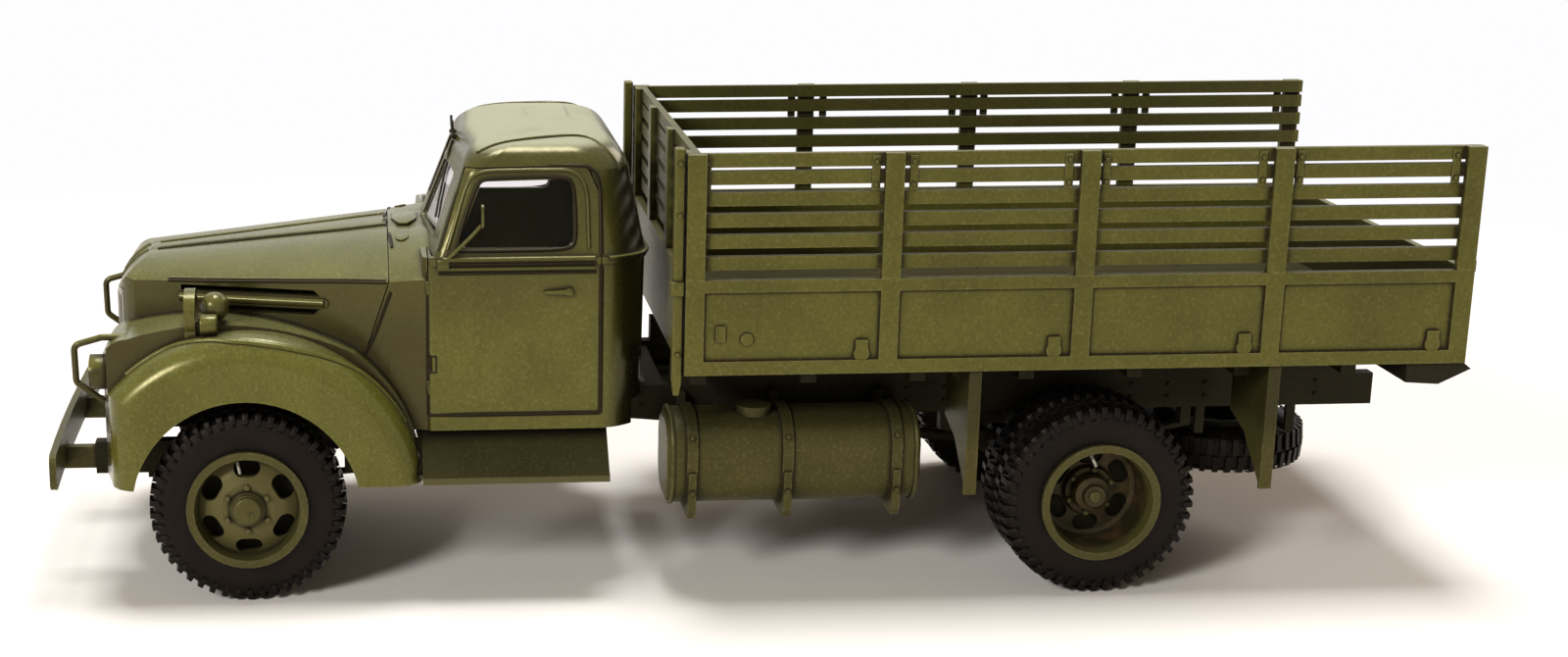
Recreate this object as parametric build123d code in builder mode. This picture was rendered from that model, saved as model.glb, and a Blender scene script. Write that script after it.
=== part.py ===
from build123d import *
from math import cos, radians
import os

# A military cargo truck as a 1:72 scale model, in millimetres of the model.
# +X is the truck's left side, -Y is its nose, +Z is up and the wheels stand on Z = 0.
# Distances named "aft" are measured backwards from the front axle.

# ---- driving dimensions ----
front_overhang = 12.9
wheelbase = 55.8

seat_gap = 0.03  # between pieces that seat in each other
panel_gap = 0.08  # between neighbouring sheet panels
sheet = 0.55  # thickness of moulded walls

# wheels
tyre_radius = 6.45
tyre_width = 2.8
tread_depth = 0.25
tread_blocks = 24
shoulder_inset = 0.2
rim_radius = 3.95
rim_seat_radius = 3.6
rim_lip = 0.4
rim_wall = 0.3
disc_thickness = 0.35
hand_holes = 6
hand_hole_width = 1.1
hand_hole_length = 1.75
front_hand_hole_radius = 2.65  # of the circle that the holes lie on
rear_hand_hole_radius = 2.34
front_tyre_x = 11.1
rear_outer_tyre_x = 13.1
rear_inner_tyre_x = 9.8
spindle_radius = 0.5
rear_spindle_radius = 0.62
spindle_clearance = 0.05

# frame
rail_x = 5.9
rail_width = 1.0
rail_height = 2.2
rail_wall = 0.35
rail_top = 12.6
horn_top = 9.3
rail_front_aft = -10.4
rail_slope_start_aft = -5.0
rail_slope_end_aft = 9.0
cross_member_aft = (-7.2, 12.0, 27.5, 44.5, 64.5)
cross_member_depth = 1.2

# running gear
front_beam_top = 6.1
front_beam_height = 1.0
beam_half_length = 8.3
leaf_width = 0.9
front_leaf_thickness = 0.2
front_spring_half_length = 6.8
rear_leaf_thickness = 0.3
rear_spring_half_length = 8.6
axle_tube_radius = 0.8
brake_drum_radius = 2.3
differential_radius = 2.2
shaft_radius = 0.4

# nose and hood
body_bottom = 9.8
hood_side_bottom = 13.5
cowl_bottom = 11.0
nose_aft = -9.1
nose_corner_aft = -8.5
nose_corner_x = 4.1
hood_rear_aft = 9.35
vent_bar_proud = 0.15
cowl_lip_reach = 0.5
grille_half_width = 4.7
grille_top = 19.4
grille_bars = 10
fender_half_width = 13.2
fender_radius = 11.6
fender_crown = 1.7
arch_radius = 7.4
fender_bottom = 8.0
fender_front_aft = -9.3

# cab
cab_half_width = 10.8
cab_front_aft = 11.6
cab_bottom = 11.0
belt_top = 22.6
cab_floor_top = 13.2
door_front_aft = 11.95
door_rear_aft = 23.1
door_bottom = 12.1
door_top = 28.2
glass_thickness = 0.2
glass_inset = 0.18

# load bed
bed_front_aft = 28.05
bed_length = 51.1
gutter_reach = 0.65  # how far the rear gutter stands out behind the tailgate
bed_half_width = 15.15
bed_bottom = 15.65
floor_thickness = 0.85
panel_top = 21.85
panel_sheet = 0.3
panel_thickness = 0.5
panel_rail_height = 0.8
post_width = 1.2
post_depth = 0.45
slat_thickness = 0.45
slat_height = 0.88
slat_tops = (29.87, 28.77, 27.41, 26.05, 24.69, 23.29)
side_posts = 5
front_posts = 4
sill_depth = 1.0
longitudinal_sill_top = 14.35
cross_sills = 7
board_aft = (47.0, 66.7)
board_inset = 0.35
board_bottom = 7.2
board_thickness = 0.35

# fuel tank
tank_front_aft = 27.4
tank_length = 16.8
tank_inner_x = 7.4
tank_outer_x = 13.0
tank_bottom = 5.9
tank_top = 12.0
tank_corner = 2.2
strap_aft = (29.0, 35.3, 42.5)
strap_width = 0.7

# spare wheel
spare_aft = 68.4
spare_middle_z = 6.7

# ---- sizes that follow ----
bed_rear_aft = bed_front_aft + bed_length
front_axle_y = front_overhang - (front_overhang + bed_rear_aft + gutter_reach) / 2
rear_axle_y = front_axle_y + wheelbase
rail_rear_aft = bed_rear_aft - 1.95


def aft(distance):
    return front_axle_y + distance


def across(x):
    """Side plane: local X runs aft along Y, local Y runs up."""
    return Plane(origin=(x, 0, 0), x_dir=(0, 1, 0), z_dir=(1, 0, 0))


def facing(y):
    """Front plane that extrudes aft: local X is minus the truck's X, local Y runs up."""
    return Plane(origin=(0, y, 0), x_dir=(-1, 0, 0), z_dir=(0, 1, 0))


def save(builder, name):
    builder.part.label = name
    export_step(builder.part, "parts/" + name + ".step")


os.makedirs("parts", exist_ok=True)

# ---- wheels ----


def wheel_section_plane(y):
    return Plane(origin=(0, y, tyre_radius), x_dir=(1, 0, 0), z_dir=(0, -1, 0))


def wheel_axis(y):
    return Axis((0, y, tyre_radius), (1, 0, 0))


def revolved(points, y):
    """A closed outline of (x, radius) points turned round a wheel's axis."""
    with BuildPart() as turned:
        with BuildSketch(wheel_section_plane(y)):
            with BuildLine():
                Polyline(*points, close=True)
            make_face()
        revolve(axis=wheel_axis(y))
    return turned.part


def tyre(middle, y):
    """Casing with straight sides, and a ring of tread blocks round it."""
    half = tyre_width / 2
    tread_half = half - shoulder_inset
    bead = rim_seat_radius + seat_gap
    root = tyre_radius - tread_depth
    shoulder = root - 0.45
    block_pitch = 360 / tread_blocks
    tip = tyre_radius / cos(radians(block_pitch * 0.2))
    outline = [
        Vector(radius, 0).rotate(Axis.Z, block_pitch * (block + share))
        for block in range(tread_blocks)
        for share, radius in ((-0.25, root), (-0.2, tip), (0.2, tip), (0.25, root))
    ]
    section = (
        (middle + half - seat_gap, bead),
        (middle + tread_half, shoulder),
        (middle - tread_half, shoulder),
        (middle - half + seat_gap, bead),
    )
    with BuildPart() as casing:
        add(revolved(section, y))
        with BuildSketch(Plane.YZ.offset(middle - tread_half)):
            with Locations((y, tyre_radius)):
                Polygon(*[(point.X, point.Y) for point in outline], align=None)
                Circle(shoulder - 0.1, mode=Mode.SUBTRACT)
        extrude(amount=2 * tread_half)
    return casing.part


def hand_hole_cutter(radius, low_x, high_x, y):
    with BuildPart() as cutter:
        with BuildSketch(Plane.YZ.offset(low_x)):
            with Locations((y, tyre_radius)):
                with PolarLocations(radius, hand_holes, start_angle=90):
                    SlotOverall(hand_hole_length, hand_hole_width, rotation=90)
        extrude(amount=high_x - low_x)
    return cutter.part


def front_wheel(middle, y):
    """Rim and domed disc of a single wheel, bored from behind for its spindle."""
    half = tyre_width / 2
    lip = half + rim_lip
    barrel = rim_seat_radius - rim_wall
    bore = spindle_radius + spindle_clearance
    section = (
        (lip, rim_radius),
        (lip, rim_radius - 0.5),
        (half - 0.2, barrel),
        (0.75, barrel - 0.05),
        (1.15, 2.4),
        (1.4, 1.7),
        (1.4, 1.15),
        (1.75, 1.0),
        (2.0, 0.6),
        (2.0, 0.0),
        (1.3, 0.0),
        (1.3, bore),
        (-0.6, bore),
        (-0.6, 1.2),
        (0.6, 1.5),
        (1.15 - disc_thickness, 2.3),
        (0.75 - disc_thickness, barrel - 0.1),
        (0.2 - half, barrel),
        (-lip, rim_radius - 0.5),
        (-lip, rim_radius),
        (-half, rim_radius),
        (-half, rim_seat_radius),
        (half, rim_seat_radius),
        (half, rim_radius),
    )
    with BuildPart() as wheel:
        add(revolved([(middle + x, radius) for x, radius in section], y))
        add(hand_hole_cutter(front_hand_hole_radius, middle - 0.2, middle + lip, y), mode=Mode.SUBTRACT)
    return wheel.part


def twin_wheel(y):
    """Two rims back to back on one dished disc and a flanged hub."""
    half = tyre_width / 2
    barrel = rim_seat_radius - rim_wall
    bore = rear_spindle_radius + spindle_clearance
    middle = (rear_outer_tyre_x + rear_inner_tyre_x) / 2
    outer = rear_outer_tyre_x
    inner = rear_inner_tyre_x
    section = (
        (outer + half + rim_lip, rim_radius),
        (outer + half + rim_lip, rim_radius - 0.5),
        (outer + half - 0.2, barrel),
        (middle + disc_thickness + 0.1, barrel - 0.1),
        (middle + disc_thickness, barrel - 0.4),
        (middle + disc_thickness, 1.75),
        (middle + 0.8, 1.6),
        (middle + 0.8, 1.3),
        (middle + 1.6, 1.15),
        (middle + 1.75, 0.8),
        (middle + 2.1, 0.7),
        (middle + 2.1, 0.0),
        (middle + 1.3, 0.0),
        (middle + 1.3, bore),
        (middle - 1.9, bore),
        (middle - 1.9, 1.2),
        (middle - 0.6, 1.6),
        (middle - disc_thickness, 1.9),
        (middle - disc_thickness, barrel - 0.4),
        (middle - disc_thickness - 0.1, barrel - 0.1),
        (inner - half + 0.2, barrel),
        (inner - half - rim_lip, rim_radius - 0.5),
        (inner - half - rim_lip, rim_radius),
        (inner - half, rim_radius),
        (inner - half, rim_seat_radius),
        (inner + half, rim_seat_radius),
        (inner + half, rim_radius),
        (outer - half, rim_radius),
        (outer - half, rim_seat_radius),
        (outer + half, rim_seat_radius),
        (outer + half, rim_radius),
    )
    with BuildPart() as wheels:
        add(revolved(section, y))
        add(hand_hole_cutter(rear_hand_hole_radius, middle - 0.9, middle + 0.9, y), mode=Mode.SUBTRACT)
    return wheels.part


with BuildPart() as front_left_wheel:
    add(front_wheel(front_tyre_x, front_axle_y))

with BuildPart() as front_left_tyre:
    add(tyre(front_tyre_x, front_axle_y))

with BuildPart() as rear_left_wheels:
    add(twin_wheel(rear_axle_y))

with BuildPart() as rear_left_tyres:
    add(tyre(rear_outer_tyre_x, rear_axle_y))
    add(tyre(rear_inner_tyre_x, rear_axle_y))

for left, kind in (
    (front_left_wheel, "front_{}_wheel"),
    (front_left_tyre, "front_{}_tyre"),
    (rear_left_wheels, "rear_{}_wheels"),
    (rear_left_tyres, "rear_{}_tyres"),
):
    save(left, kind.format("left"))
    with BuildPart() as right:
        mirror(left.part, about=Plane.YZ)
    save(right, kind.format("right"))

spare_turn = Location((0, aft(spare_aft), spare_middle_z), (0, 90, 0))
with BuildPart() as spare_wheel:
    with Locations(spare_turn):
        add(front_wheel(0, 0).moved(Location((0, 0, -tyre_radius))))
save(spare_wheel, "spare_wheel")

with BuildPart() as spare_tyre:
    with Locations(spare_turn):
        add(tyre(0, 0).moved(Location((0, 0, -tyre_radius))))
save(spare_tyre, "spare_tyre")

# ---- frame ----


def rail_outline(inset):
    """Side outline of a rail: level aft, sloping down to the front horns."""
    slope_start = aft(rail_slope_start_aft)
    slope_end = aft(rail_slope_end_aft)
    with BuildSketch(across(rail_x - rail_width / 2)) as outline:
        with BuildLine():
            Polyline(
                (aft(rail_front_aft), horn_top - inset),
                (slope_start, horn_top - inset),
                (slope_end, rail_top - inset),
                (aft(rail_rear_aft), rail_top - inset),
                (aft(rail_rear_aft), rail_top - rail_height + inset),
                (slope_end, rail_top - rail_height + inset),
                (slope_start, horn_top - rail_height + inset),
                (aft(rail_front_aft), horn_top - rail_height + inset),
                close=True,
            )
        make_face()
    return outline.sketch


spare_top = spare_middle_z + tyre_width / 2 + rim_lip
with BuildPart() as chassis_frame:
    extrude(rail_outline(0), amount=rail_width)
    extrude(rail_outline(rail_wall), amount=rail_width - rail_wall, mode=Mode.SUBTRACT)
    mirror(about=Plane.YZ)
    for distance in (*cross_member_aft, rail_rear_aft - 1.0):
        top = horn_top if distance < rail_slope_start_aft else rail_top
        with Locations((0, aft(distance), top - rail_height / 2)):
            Box(2 * rail_x, cross_member_depth, rail_height - 2 * rail_wall)
    for distance in (spare_aft - 3.2, spare_aft + 3.2):
        with Locations((0, aft(distance), spare_top + 0.2)):
            Box(2 * rail_x + rail_width, 0.6, 0.4)
        for side in (-1, 1):
            with Locations((side * (rail_x + rail_width / 2 - 0.2), aft(distance), spare_top)):
                Box(0.4, 0.6, rail_top - rail_height + 0.2 - spare_top, align=(Align.CENTER, Align.CENTER, Align.MIN))
save(chassis_frame, "chassis_frame")

# ---- axles and springs ----

beam_middle_z = front_beam_top - front_beam_height / 2
with BuildPart() as front_axle:
    with Locations((0, front_axle_y, beam_middle_z)):
        Box(2 * beam_half_length, 1.1, front_beam_height)
    for side in (-1, 1):
        with Locations((0, front_axle_y + side * 0.55, beam_middle_z)):
            Box(2 * beam_half_length - 2, 0.5, front_beam_height - 0.5, mode=Mode.SUBTRACT)
save(front_axle, "front_axle")

with BuildPart() as steering_knuckles:
    with Locations((beam_half_length + 0.5, front_axle_y, tyre_radius)):
        Box(1.0, 1.1, 2.1)
    with BuildSketch(Plane.YZ.offset(beam_half_length)):
        with Locations((front_axle_y, tyre_radius)):
            Circle(spindle_radius)
    extrude(amount=front_tyre_x + 1.2 - beam_half_length)
    with Locations((beam_half_length + 0.4, front_axle_y + 1.4, 5.8)):
        Box(0.4, 2.0, 0.5)
    mirror(about=Plane.YZ)
save(steering_knuckles, "steering_knuckles")

with BuildPart() as tie_rod:
    with BuildSketch(Plane.YZ.offset(-beam_half_length - 0.2)):
        with Locations((front_axle_y + 2.1, 5.8)):
            Circle(0.2)
    extrude(amount=2 * beam_half_length + 0.4)
save(tie_rod, "tie_rod")


def leaf_spring(y, seat_z, half_length, thickness, leaves, rise, hangers):
    """Stacked leaves that curve up to eyes, and a hanger from each eye up to the rail."""
    with BuildPart() as spring:
        for leaf in range(leaves):
            reach = half_length * (1 - 0.2 * leaf)
            low = seat_z + thickness * (leaves - 1 - leaf)
            end = low + rise * (reach / half_length) ** 2
            with BuildSketch(across(rail_x - leaf_width / 2)):
                with BuildLine():
                    ThreePointArc((y - reach, end), (y, low), (y + reach, end))
                    Line((y + reach, end), (y + reach, end + thickness))
                    ThreePointArc((y + reach, end + thickness), (y, low + thickness), (y - reach, end + thickness))
                    Line((y - reach, end + thickness), (y - reach, end))
                make_face()
            extrude(amount=leaf_width)
        eye_z = seat_z + thickness * (leaves - 1) + rise
        for side, rail_bottom in zip((-1, 1), hangers):
            with Locations((rail_x, y + side * (half_length - 0.2), eye_z)):
                Box(leaf_width, 0.7, rail_bottom - eye_z, align=(Align.CENTER, Align.CENTER, Align.MIN))
        mirror(about=Plane.YZ)
    return spring.part


rail_bottom = rail_top - rail_height
horn_bottom = horn_top - rail_height
slope = (rail_bottom - horn_bottom) / (rail_slope_end_aft - rail_slope_start_aft)
front_rear_eye_aft = front_spring_half_length - 0.55
sloped_bottom = horn_bottom + slope * (front_rear_eye_aft - rail_slope_start_aft)
with BuildPart() as front_springs:
    add(
        leaf_spring(
            front_axle_y,
            front_beam_top,
            front_spring_half_length,
            front_leaf_thickness,
            3,
            0.25,
            (horn_bottom, sloped_bottom),
        )
    )
save(front_springs, "front_springs")

with BuildPart() as rear_springs:
    add(
        leaf_spring(
            rear_axle_y,
            tyre_radius + axle_tube_radius,
            rear_spring_half_length,
            rear_leaf_thickness,
            4,
            0.9,
            (rail_bottom, rail_bottom),
        )
    )
save(rear_springs, "rear_springs")

drum_outer_x = rear_inner_tyre_x - 0.6
with BuildPart() as rear_axle:
    add(
        revolved(
            (
                (0, 0),
                (rear_outer_tyre_x - 0.45, 0),
                (rear_outer_tyre_x - 0.45, rear_spindle_radius),
                (drum_outer_x, rear_spindle_radius),
                (drum_outer_x, brake_drum_radius),
                (drum_outer_x - 1.0, brake_drum_radius),
                (drum_outer_x - 1.0, axle_tube_radius),
                (differential_radius, axle_tube_radius),
                (1.3, 1.8),
                (0.8, differential_radius),
                (0, differential_radius),
            ),
            rear_axle_y,
        )
    )
    mirror(about=Plane.YZ)
    with BuildSketch(Plane(origin=(0, rear_axle_y - 1.0, tyre_radius), z_dir=(0, -1, 0))):
        Circle(1.0)
    extrude(amount=2.4)
save(rear_axle, "rear_axle")

# ---- engine, gearbox and drive ----

gearbox_rear_aft = 17.2
gearbox_middle_z = 9.6
cross_member_bottom = rail_top - rail_height / 2 - (rail_height / 2 - rail_wall)
front_member_top = horn_top - rail_wall
with BuildPart() as engine_block:
    with Locations((0, aft(1.5), 9.0)):
        Box(5.2, 12.0, 10.0, align=(Align.CENTER, Align.CENTER, Align.MIN))
    with Locations((0, aft(2.5), 7.6)):
        Box(3.2, 8.0, 1.6, align=(Align.CENTER, Align.CENTER, Align.MIN))
    with Locations((0, aft(-5.5), front_member_top)):
        Box(4.0, 2.5, 0.6, align=(Align.CENTER, Align.CENTER, Align.MIN))
    for distance, width, height in ((7.5, 3.4, 2.2), (gearbox_rear_aft, 2.0, 2.0)):
        with BuildSketch(facing(aft(distance))):
            with Locations((0, gearbox_middle_z)):
                RectangleRounded(width, height, 0.5)
    loft()
    with Locations((0, aft(12.0), gearbox_middle_z + 0.6)):
        Box(1.6, 1.0, cross_member_bottom - gearbox_middle_z - 0.6, align=(Align.CENTER, Align.CENTER, Align.MIN))
save(engine_block, "engine_block")

shaft_start = Vector(0, aft(gearbox_rear_aft) + 0.06, gearbox_middle_z)
shaft_end = Vector(0, rear_axle_y - 3.4 - 0.1, tyre_radius)
shaft_run = shaft_end - shaft_start
with BuildPart() as propeller_shaft:
    with BuildSketch(Plane(origin=shaft_start, z_dir=shaft_run)):
        Circle(shaft_radius)
    extrude(amount=shaft_run.length)
    for place in (0.0, shaft_run.length - 1.2):
        with BuildSketch(Plane(origin=shaft_start + shaft_run.normalized() * place, z_dir=shaft_run)):
            Circle(shaft_radius + 0.25)
        extrude(amount=1.2)
save(propeller_shaft, "propeller_shaft")

silencer_aft = 27.0
silencer_length = 9.0
exhaust_x = -8.0
exhaust_z = 9.4
with BuildPart() as exhaust:
    with BuildSketch(Plane(origin=(exhaust_x, aft(silencer_aft), exhaust_z), z_dir=(0, 1, 0))):
        Circle(1.15)
    extrude(amount=silencer_length)
    with BuildLine() as run:
        FilletPolyline(
            (-2.62, aft(6.5), exhaust_z),
            (-3.6, aft(6.5), exhaust_z),
            (exhaust_x, aft(14.0), exhaust_z),
            (exhaust_x, aft(silencer_aft) + 0.2, exhaust_z),
            radius=0.8,
        )
    with BuildSketch(Plane(origin=(-2.62, aft(6.5), exhaust_z), z_dir=(-1, 0, 0))):
        Circle(0.35)
    sweep()
    with BuildLine() as tail_run:
        FilletPolyline(
            (exhaust_x, aft(silencer_aft + silencer_length) - 0.2, exhaust_z),
            (exhaust_x, aft(41.0), exhaust_z),
            (exhaust_x - 5.5, aft(44.5), exhaust_z),
            radius=1.5,
        )
    with BuildSketch(
        Plane(origin=(exhaust_x, aft(silencer_aft + silencer_length) - 0.2, exhaust_z), z_dir=(0, 1, 0))
    ):
        Circle(0.35)
    sweep(path=tail_run.wires()[0])
    for distance in (silencer_aft + 1.5, silencer_aft + silencer_length - 1.5):
        with Locations((-rail_x - rail_width / 2, aft(distance), rail_bottom)):
            Box(-exhaust_x - rail_x - rail_width / 2, 0.6, 0.4, align=(Align.MAX, Align.CENTER, Align.MIN))
save(exhaust, "exhaust")

# ---- bumper ----

bumper_height = 2.4
bumper_bottom = 7.8
bumper_sheet = 0.45
bumper_half_width = 12.4
bumper_sweep = 0.25
bumper_corner = 0.6
horn_reach = front_overhang + rail_front_aft - bumper_sheet / 2
with BuildPart() as front_bumper:
    with BuildSketch(Plane.XY.offset(bumper_bottom)):
        with BuildLine():
            front_edge = ThreePointArc(
                (-bumper_half_width, aft(bumper_sweep - front_overhang)),
                (0, aft(-front_overhang)),
                (bumper_half_width, aft(bumper_sweep - front_overhang)),
            )
            offset(front_edge, amount=bumper_sheet, side=Side.LEFT, closed=True)
        make_face()
    extrude(amount=bumper_height)
    with BuildSketch(facing(aft(-front_overhang) - 1)):
        with Locations((0, bumper_bottom + bumper_height / 2)):
            RectangleRounded(2 * bumper_half_width, bumper_height, bumper_corner)
    extrude(amount=4, mode=Mode.INTERSECT)
    for side in (-1, 1):
        with Locations((side * rail_x, aft(rail_front_aft), horn_top - rail_height / 2)):
            Box(0.7, horn_reach, 1.5, align=(Align.CENTER, Align.MAX, Align.CENTER))
save(front_bumper, "front_bumper")

# ---- nose, hood and cowl ----


def body_form(inset):
    """Hood and cowl as one tapering form: flat sides, round shoulders and a low crown."""
    sections = (
        # aft, half width, side top, shoulder x, shoulder z, crown x, crown edge z, crown z
        (-9.6, 5.0, 20.15, 4.35, 20.5, 0.8, 20.95, 21.05),
        (9.4, 10.1, 20.9, 8.9, 21.5, 2.3, 22.95, 23.1),
        (12.6, 10.8, 21.2, 9.6, 21.9, 2.6, 23.1, 23.25),
    )
    with BuildPart() as form:
        for distance, half_width, side_top, shoulder_x, shoulder_z, crown_x, crown_edge, crown in sections:
            width = half_width - inset
            with BuildSketch(facing(aft(distance))):
                with BuildLine():
                    Line((-width, body_bottom - 1), (width, body_bottom - 1))
                    Line((width, body_bottom - 1), (width, side_top - inset))
                    ThreePointArc(
                        (width, side_top - inset),
                        (shoulder_x - inset * 0.7, shoulder_z - inset * 0.7),
                        (crown_x, crown_edge - inset),
                    )
                    ThreePointArc((crown_x, crown_edge - inset), (0, crown - inset), (-crown_x, crown_edge - inset))
                    ThreePointArc(
                        (-crown_x, crown_edge - inset),
                        (-shoulder_x + inset * 0.7, shoulder_z - inset * 0.7),
                        (-width, side_top - inset),
                    )
                    Line((-width, side_top - inset), (-width, body_bottom - 1))
                make_face()
        loft(ruled=True)
        with BuildSketch(across(-cab_half_width)):
            with BuildLine():
                Line((aft(nose_aft + inset), body_bottom - 1), (aft(nose_aft + inset), 17.6))
                ThreePointArc(
                    (aft(nose_aft + inset), 17.6),
                    (aft(nose_aft + inset) + 0.65, 19.85 - inset * 0.7),
                    (aft(-6.5), 21.4 - inset),
                )
                Polyline(
                    (aft(-6.5), 21.4 - inset),
                    (aft(-5.5), 24.5),
                    (aft(12.6), 24.5),
                    (aft(12.6), body_bottom - 1),
                    (aft(nose_aft + inset), body_bottom - 1),
                )
            make_face()
        extrude(amount=2 * cab_half_width, mode=Mode.INTERSECT)
        with BuildSketch(Plane.XY.offset(body_bottom - 1)):
            corner_start = Vector(nose_corner_x, aft(nose_corner_aft + inset))
            corner_middle = Vector(5.35 - inset * 0.7, aft(-7.75 + inset * 0.7))
            corner_end = Vector(6.0 - inset, aft(-6.0))
            with BuildLine():
                for side in (1, -1):
                    turned = [Vector(side * p.X, p.Y) for p in (corner_start, corner_middle, corner_end)]
                    ThreePointArc(*turned)
                    Polyline(
                        turned[-1],
                        (side * cab_half_width, aft(-4.0)),
                        (side * cab_half_width, aft(12.6)),
                        (0, aft(12.6)),
                    )
                ThreePointArc(
                    (-nose_corner_x, aft(nose_corner_aft + inset)),
                    (0, aft(nose_aft + inset)),
                    (nose_corner_x, aft(nose_corner_aft + inset)),
                )
            make_face()
        extrude(amount=15, mode=Mode.INTERSECT)
    return form.part


def side_prism(points):
    """A prism right across the truck from a side outline of (aft, height) points."""
    with BuildPart() as prism:
        with BuildSketch(across(-16)):
            with BuildLine():
                Polyline(*[(aft(distance), height) for distance, height in points], close=True)
            make_face()
        extrude(amount=32)
    return prism.part


body_outer = body_form(0)
body_inner = body_form(sheet)
gap_top = (hood_rear_aft, 20.9)
gap_bottom = (hood_rear_aft - 2.4, hood_side_bottom)
hood_side = side_prism(
    (
        (-10, body_bottom),
        (-5.6, body_bottom),
        (-5.6, hood_side_bottom),
        gap_bottom,
        gap_top,
        (hood_rear_aft, 25),
        (-10, 25),
    )
)
cowl_side = side_prism(
    (
        (gap_bottom[0] + panel_gap, gap_bottom[1]),
        (gap_top[0] + panel_gap, gap_top[1]),
        (hood_rear_aft + panel_gap, 25),
        (13, 25),
        (13, cowl_bottom),
        (hood_rear_aft, cowl_bottom),
        (hood_rear_aft, gap_bottom[1]),
    )
)

vent_slots = (
    ((-4.3, 19.7), (-4.3, 20.1), (4.5, 20.1), (4.9, 19.7)),
    ((-2.0, 18.45), (-2.0, 18.85), (4.9, 18.85), (4.5, 18.45)),
)
vent_bar = ((-4.5, 18.95), (-4.5, 19.6), (5.1, 19.6), (5.4, 19.4), (5.4, 19.15), (5.1, 18.95))

with BuildPart() as vent_bars:
    add(body_form(-vent_bar_proud))
    add(body_inner, mode=Mode.SUBTRACT)
    add(side_prism(vent_bar), mode=Mode.INTERSECT)

with BuildPart() as hood:
    add(body_outer)
    add(body_inner, mode=Mode.SUBTRACT)
    add(hood_side, mode=Mode.INTERSECT)
    for slot in vent_slots:
        add(side_prism(slot), mode=Mode.SUBTRACT)
    add(vent_bars.part)
    with Locations((0, aft(nose_aft), body_bottom)):
        Box(
            2 * (grille_half_width + panel_gap),
            3.0,
            grille_top + panel_gap - body_bottom,
            align=(Align.CENTER, Align.CENTER, Align.MIN),
            mode=Mode.SUBTRACT,
        )
save(hood, "hood")

bar_pitch = 2 * (grille_half_width - 0.4) / grille_bars
with BuildPart() as grille:
    add(body_outer)
    add(body_inner, mode=Mode.SUBTRACT)
    with Locations((0, aft(nose_aft), body_bottom)):
        Box(
            2 * grille_half_width,
            3.0,
            grille_top - body_bottom,
            align=(Align.CENTER, Align.CENTER, Align.MIN),
            mode=Mode.INTERSECT,
        )
    with BuildSketch(facing(aft(nose_aft - 1))):
        with Locations((0, (body_bottom + grille_top) / 2)):
            with GridLocations(bar_pitch, 1, grille_bars, 1):
                SlotOverall(grille_top - body_bottom - 1.0, bar_pitch * 0.55, rotation=90)
    extrude(amount=4, mode=Mode.SUBTRACT)
save(grille, "grille")

with BuildPart() as radiator:
    with Locations((0, aft(cross_member_aft[0]), front_member_top)):
        Box(9.0, 0.8, 10.2, align=(Align.CENTER, Align.CENTER, Align.MIN))
save(radiator, "radiator")

# ---- front fenders ----


def fender_form(inset):
    """Left fender: a round crown over the wheel with a boxier inner part by the hood."""
    crown = fender_crown - inset
    radius = fender_radius - inset
    side = fender_half_width - inset
    with BuildPart() as form:
        with BuildSketch(wheel_section_plane(front_axle_y)):
            with BuildLine():
                Line((4.5, 2), (side, 2))
                Line((side, 2), (side, radius - crown))
                RadiusArc((side, radius - crown), (side - crown, radius), -crown)
                Line((side - crown, radius), (4.5, radius))
                Line((4.5, radius), (4.5, 2))
            make_face()
        revolve(axis=wheel_axis(front_axle_y))
        with BuildSketch(across(4.5)):
            with BuildLine():
                Line((aft(fender_front_aft + inset), fender_bottom - 1), (aft(fender_front_aft + inset), 15.8))
                ThreePointArc(
                    (aft(fender_front_aft + inset), 15.8),
                    (aft(fender_front_aft + inset) + 0.45, 16.95 - inset * 0.7),
                    (aft(-7.6), 17.5 - inset),
                )
                ThreePointArc((aft(-7.6), 17.5 - inset), (aft(0), 18.3 - inset), (aft(7.2), 16.3 - inset))
                ThreePointArc(
                    (aft(7.2), 16.3 - inset), (aft(10.3 - inset * 0.7), 12.6), (aft(11.35 - inset), fender_bottom - 1)
                )
                Line((aft(11.35 - inset), fender_bottom - 1), (aft(fender_front_aft + inset), fender_bottom - 1))
            make_face()
        extrude(amount=6.3 - inset)
        with BuildSketch(Plane.XY.offset(fender_bottom - inset)):
            with BuildLine():
                Line((4.5, aft(fender_front_aft + inset)), (9.0, aft(fender_front_aft + inset)))
                Line((9.0, aft(fender_front_aft + inset)), (11.4 - inset * 0.5, aft(-8.75 + inset)))
                ThreePointArc(
                    (11.4 - inset * 0.5, aft(-8.75 + inset)),
                    (12.65 - inset, aft(-8.2 + inset * 0.9)),
                    (side, aft(-6.9)),
                )
                Polyline((side, aft(-6.9)), (side, aft(12)), (4.5, aft(12)), (4.5, aft(fender_front_aft + inset)))
            make_face()
        extrude(amount=12, mode=Mode.INTERSECT)
    return form.part


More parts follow.
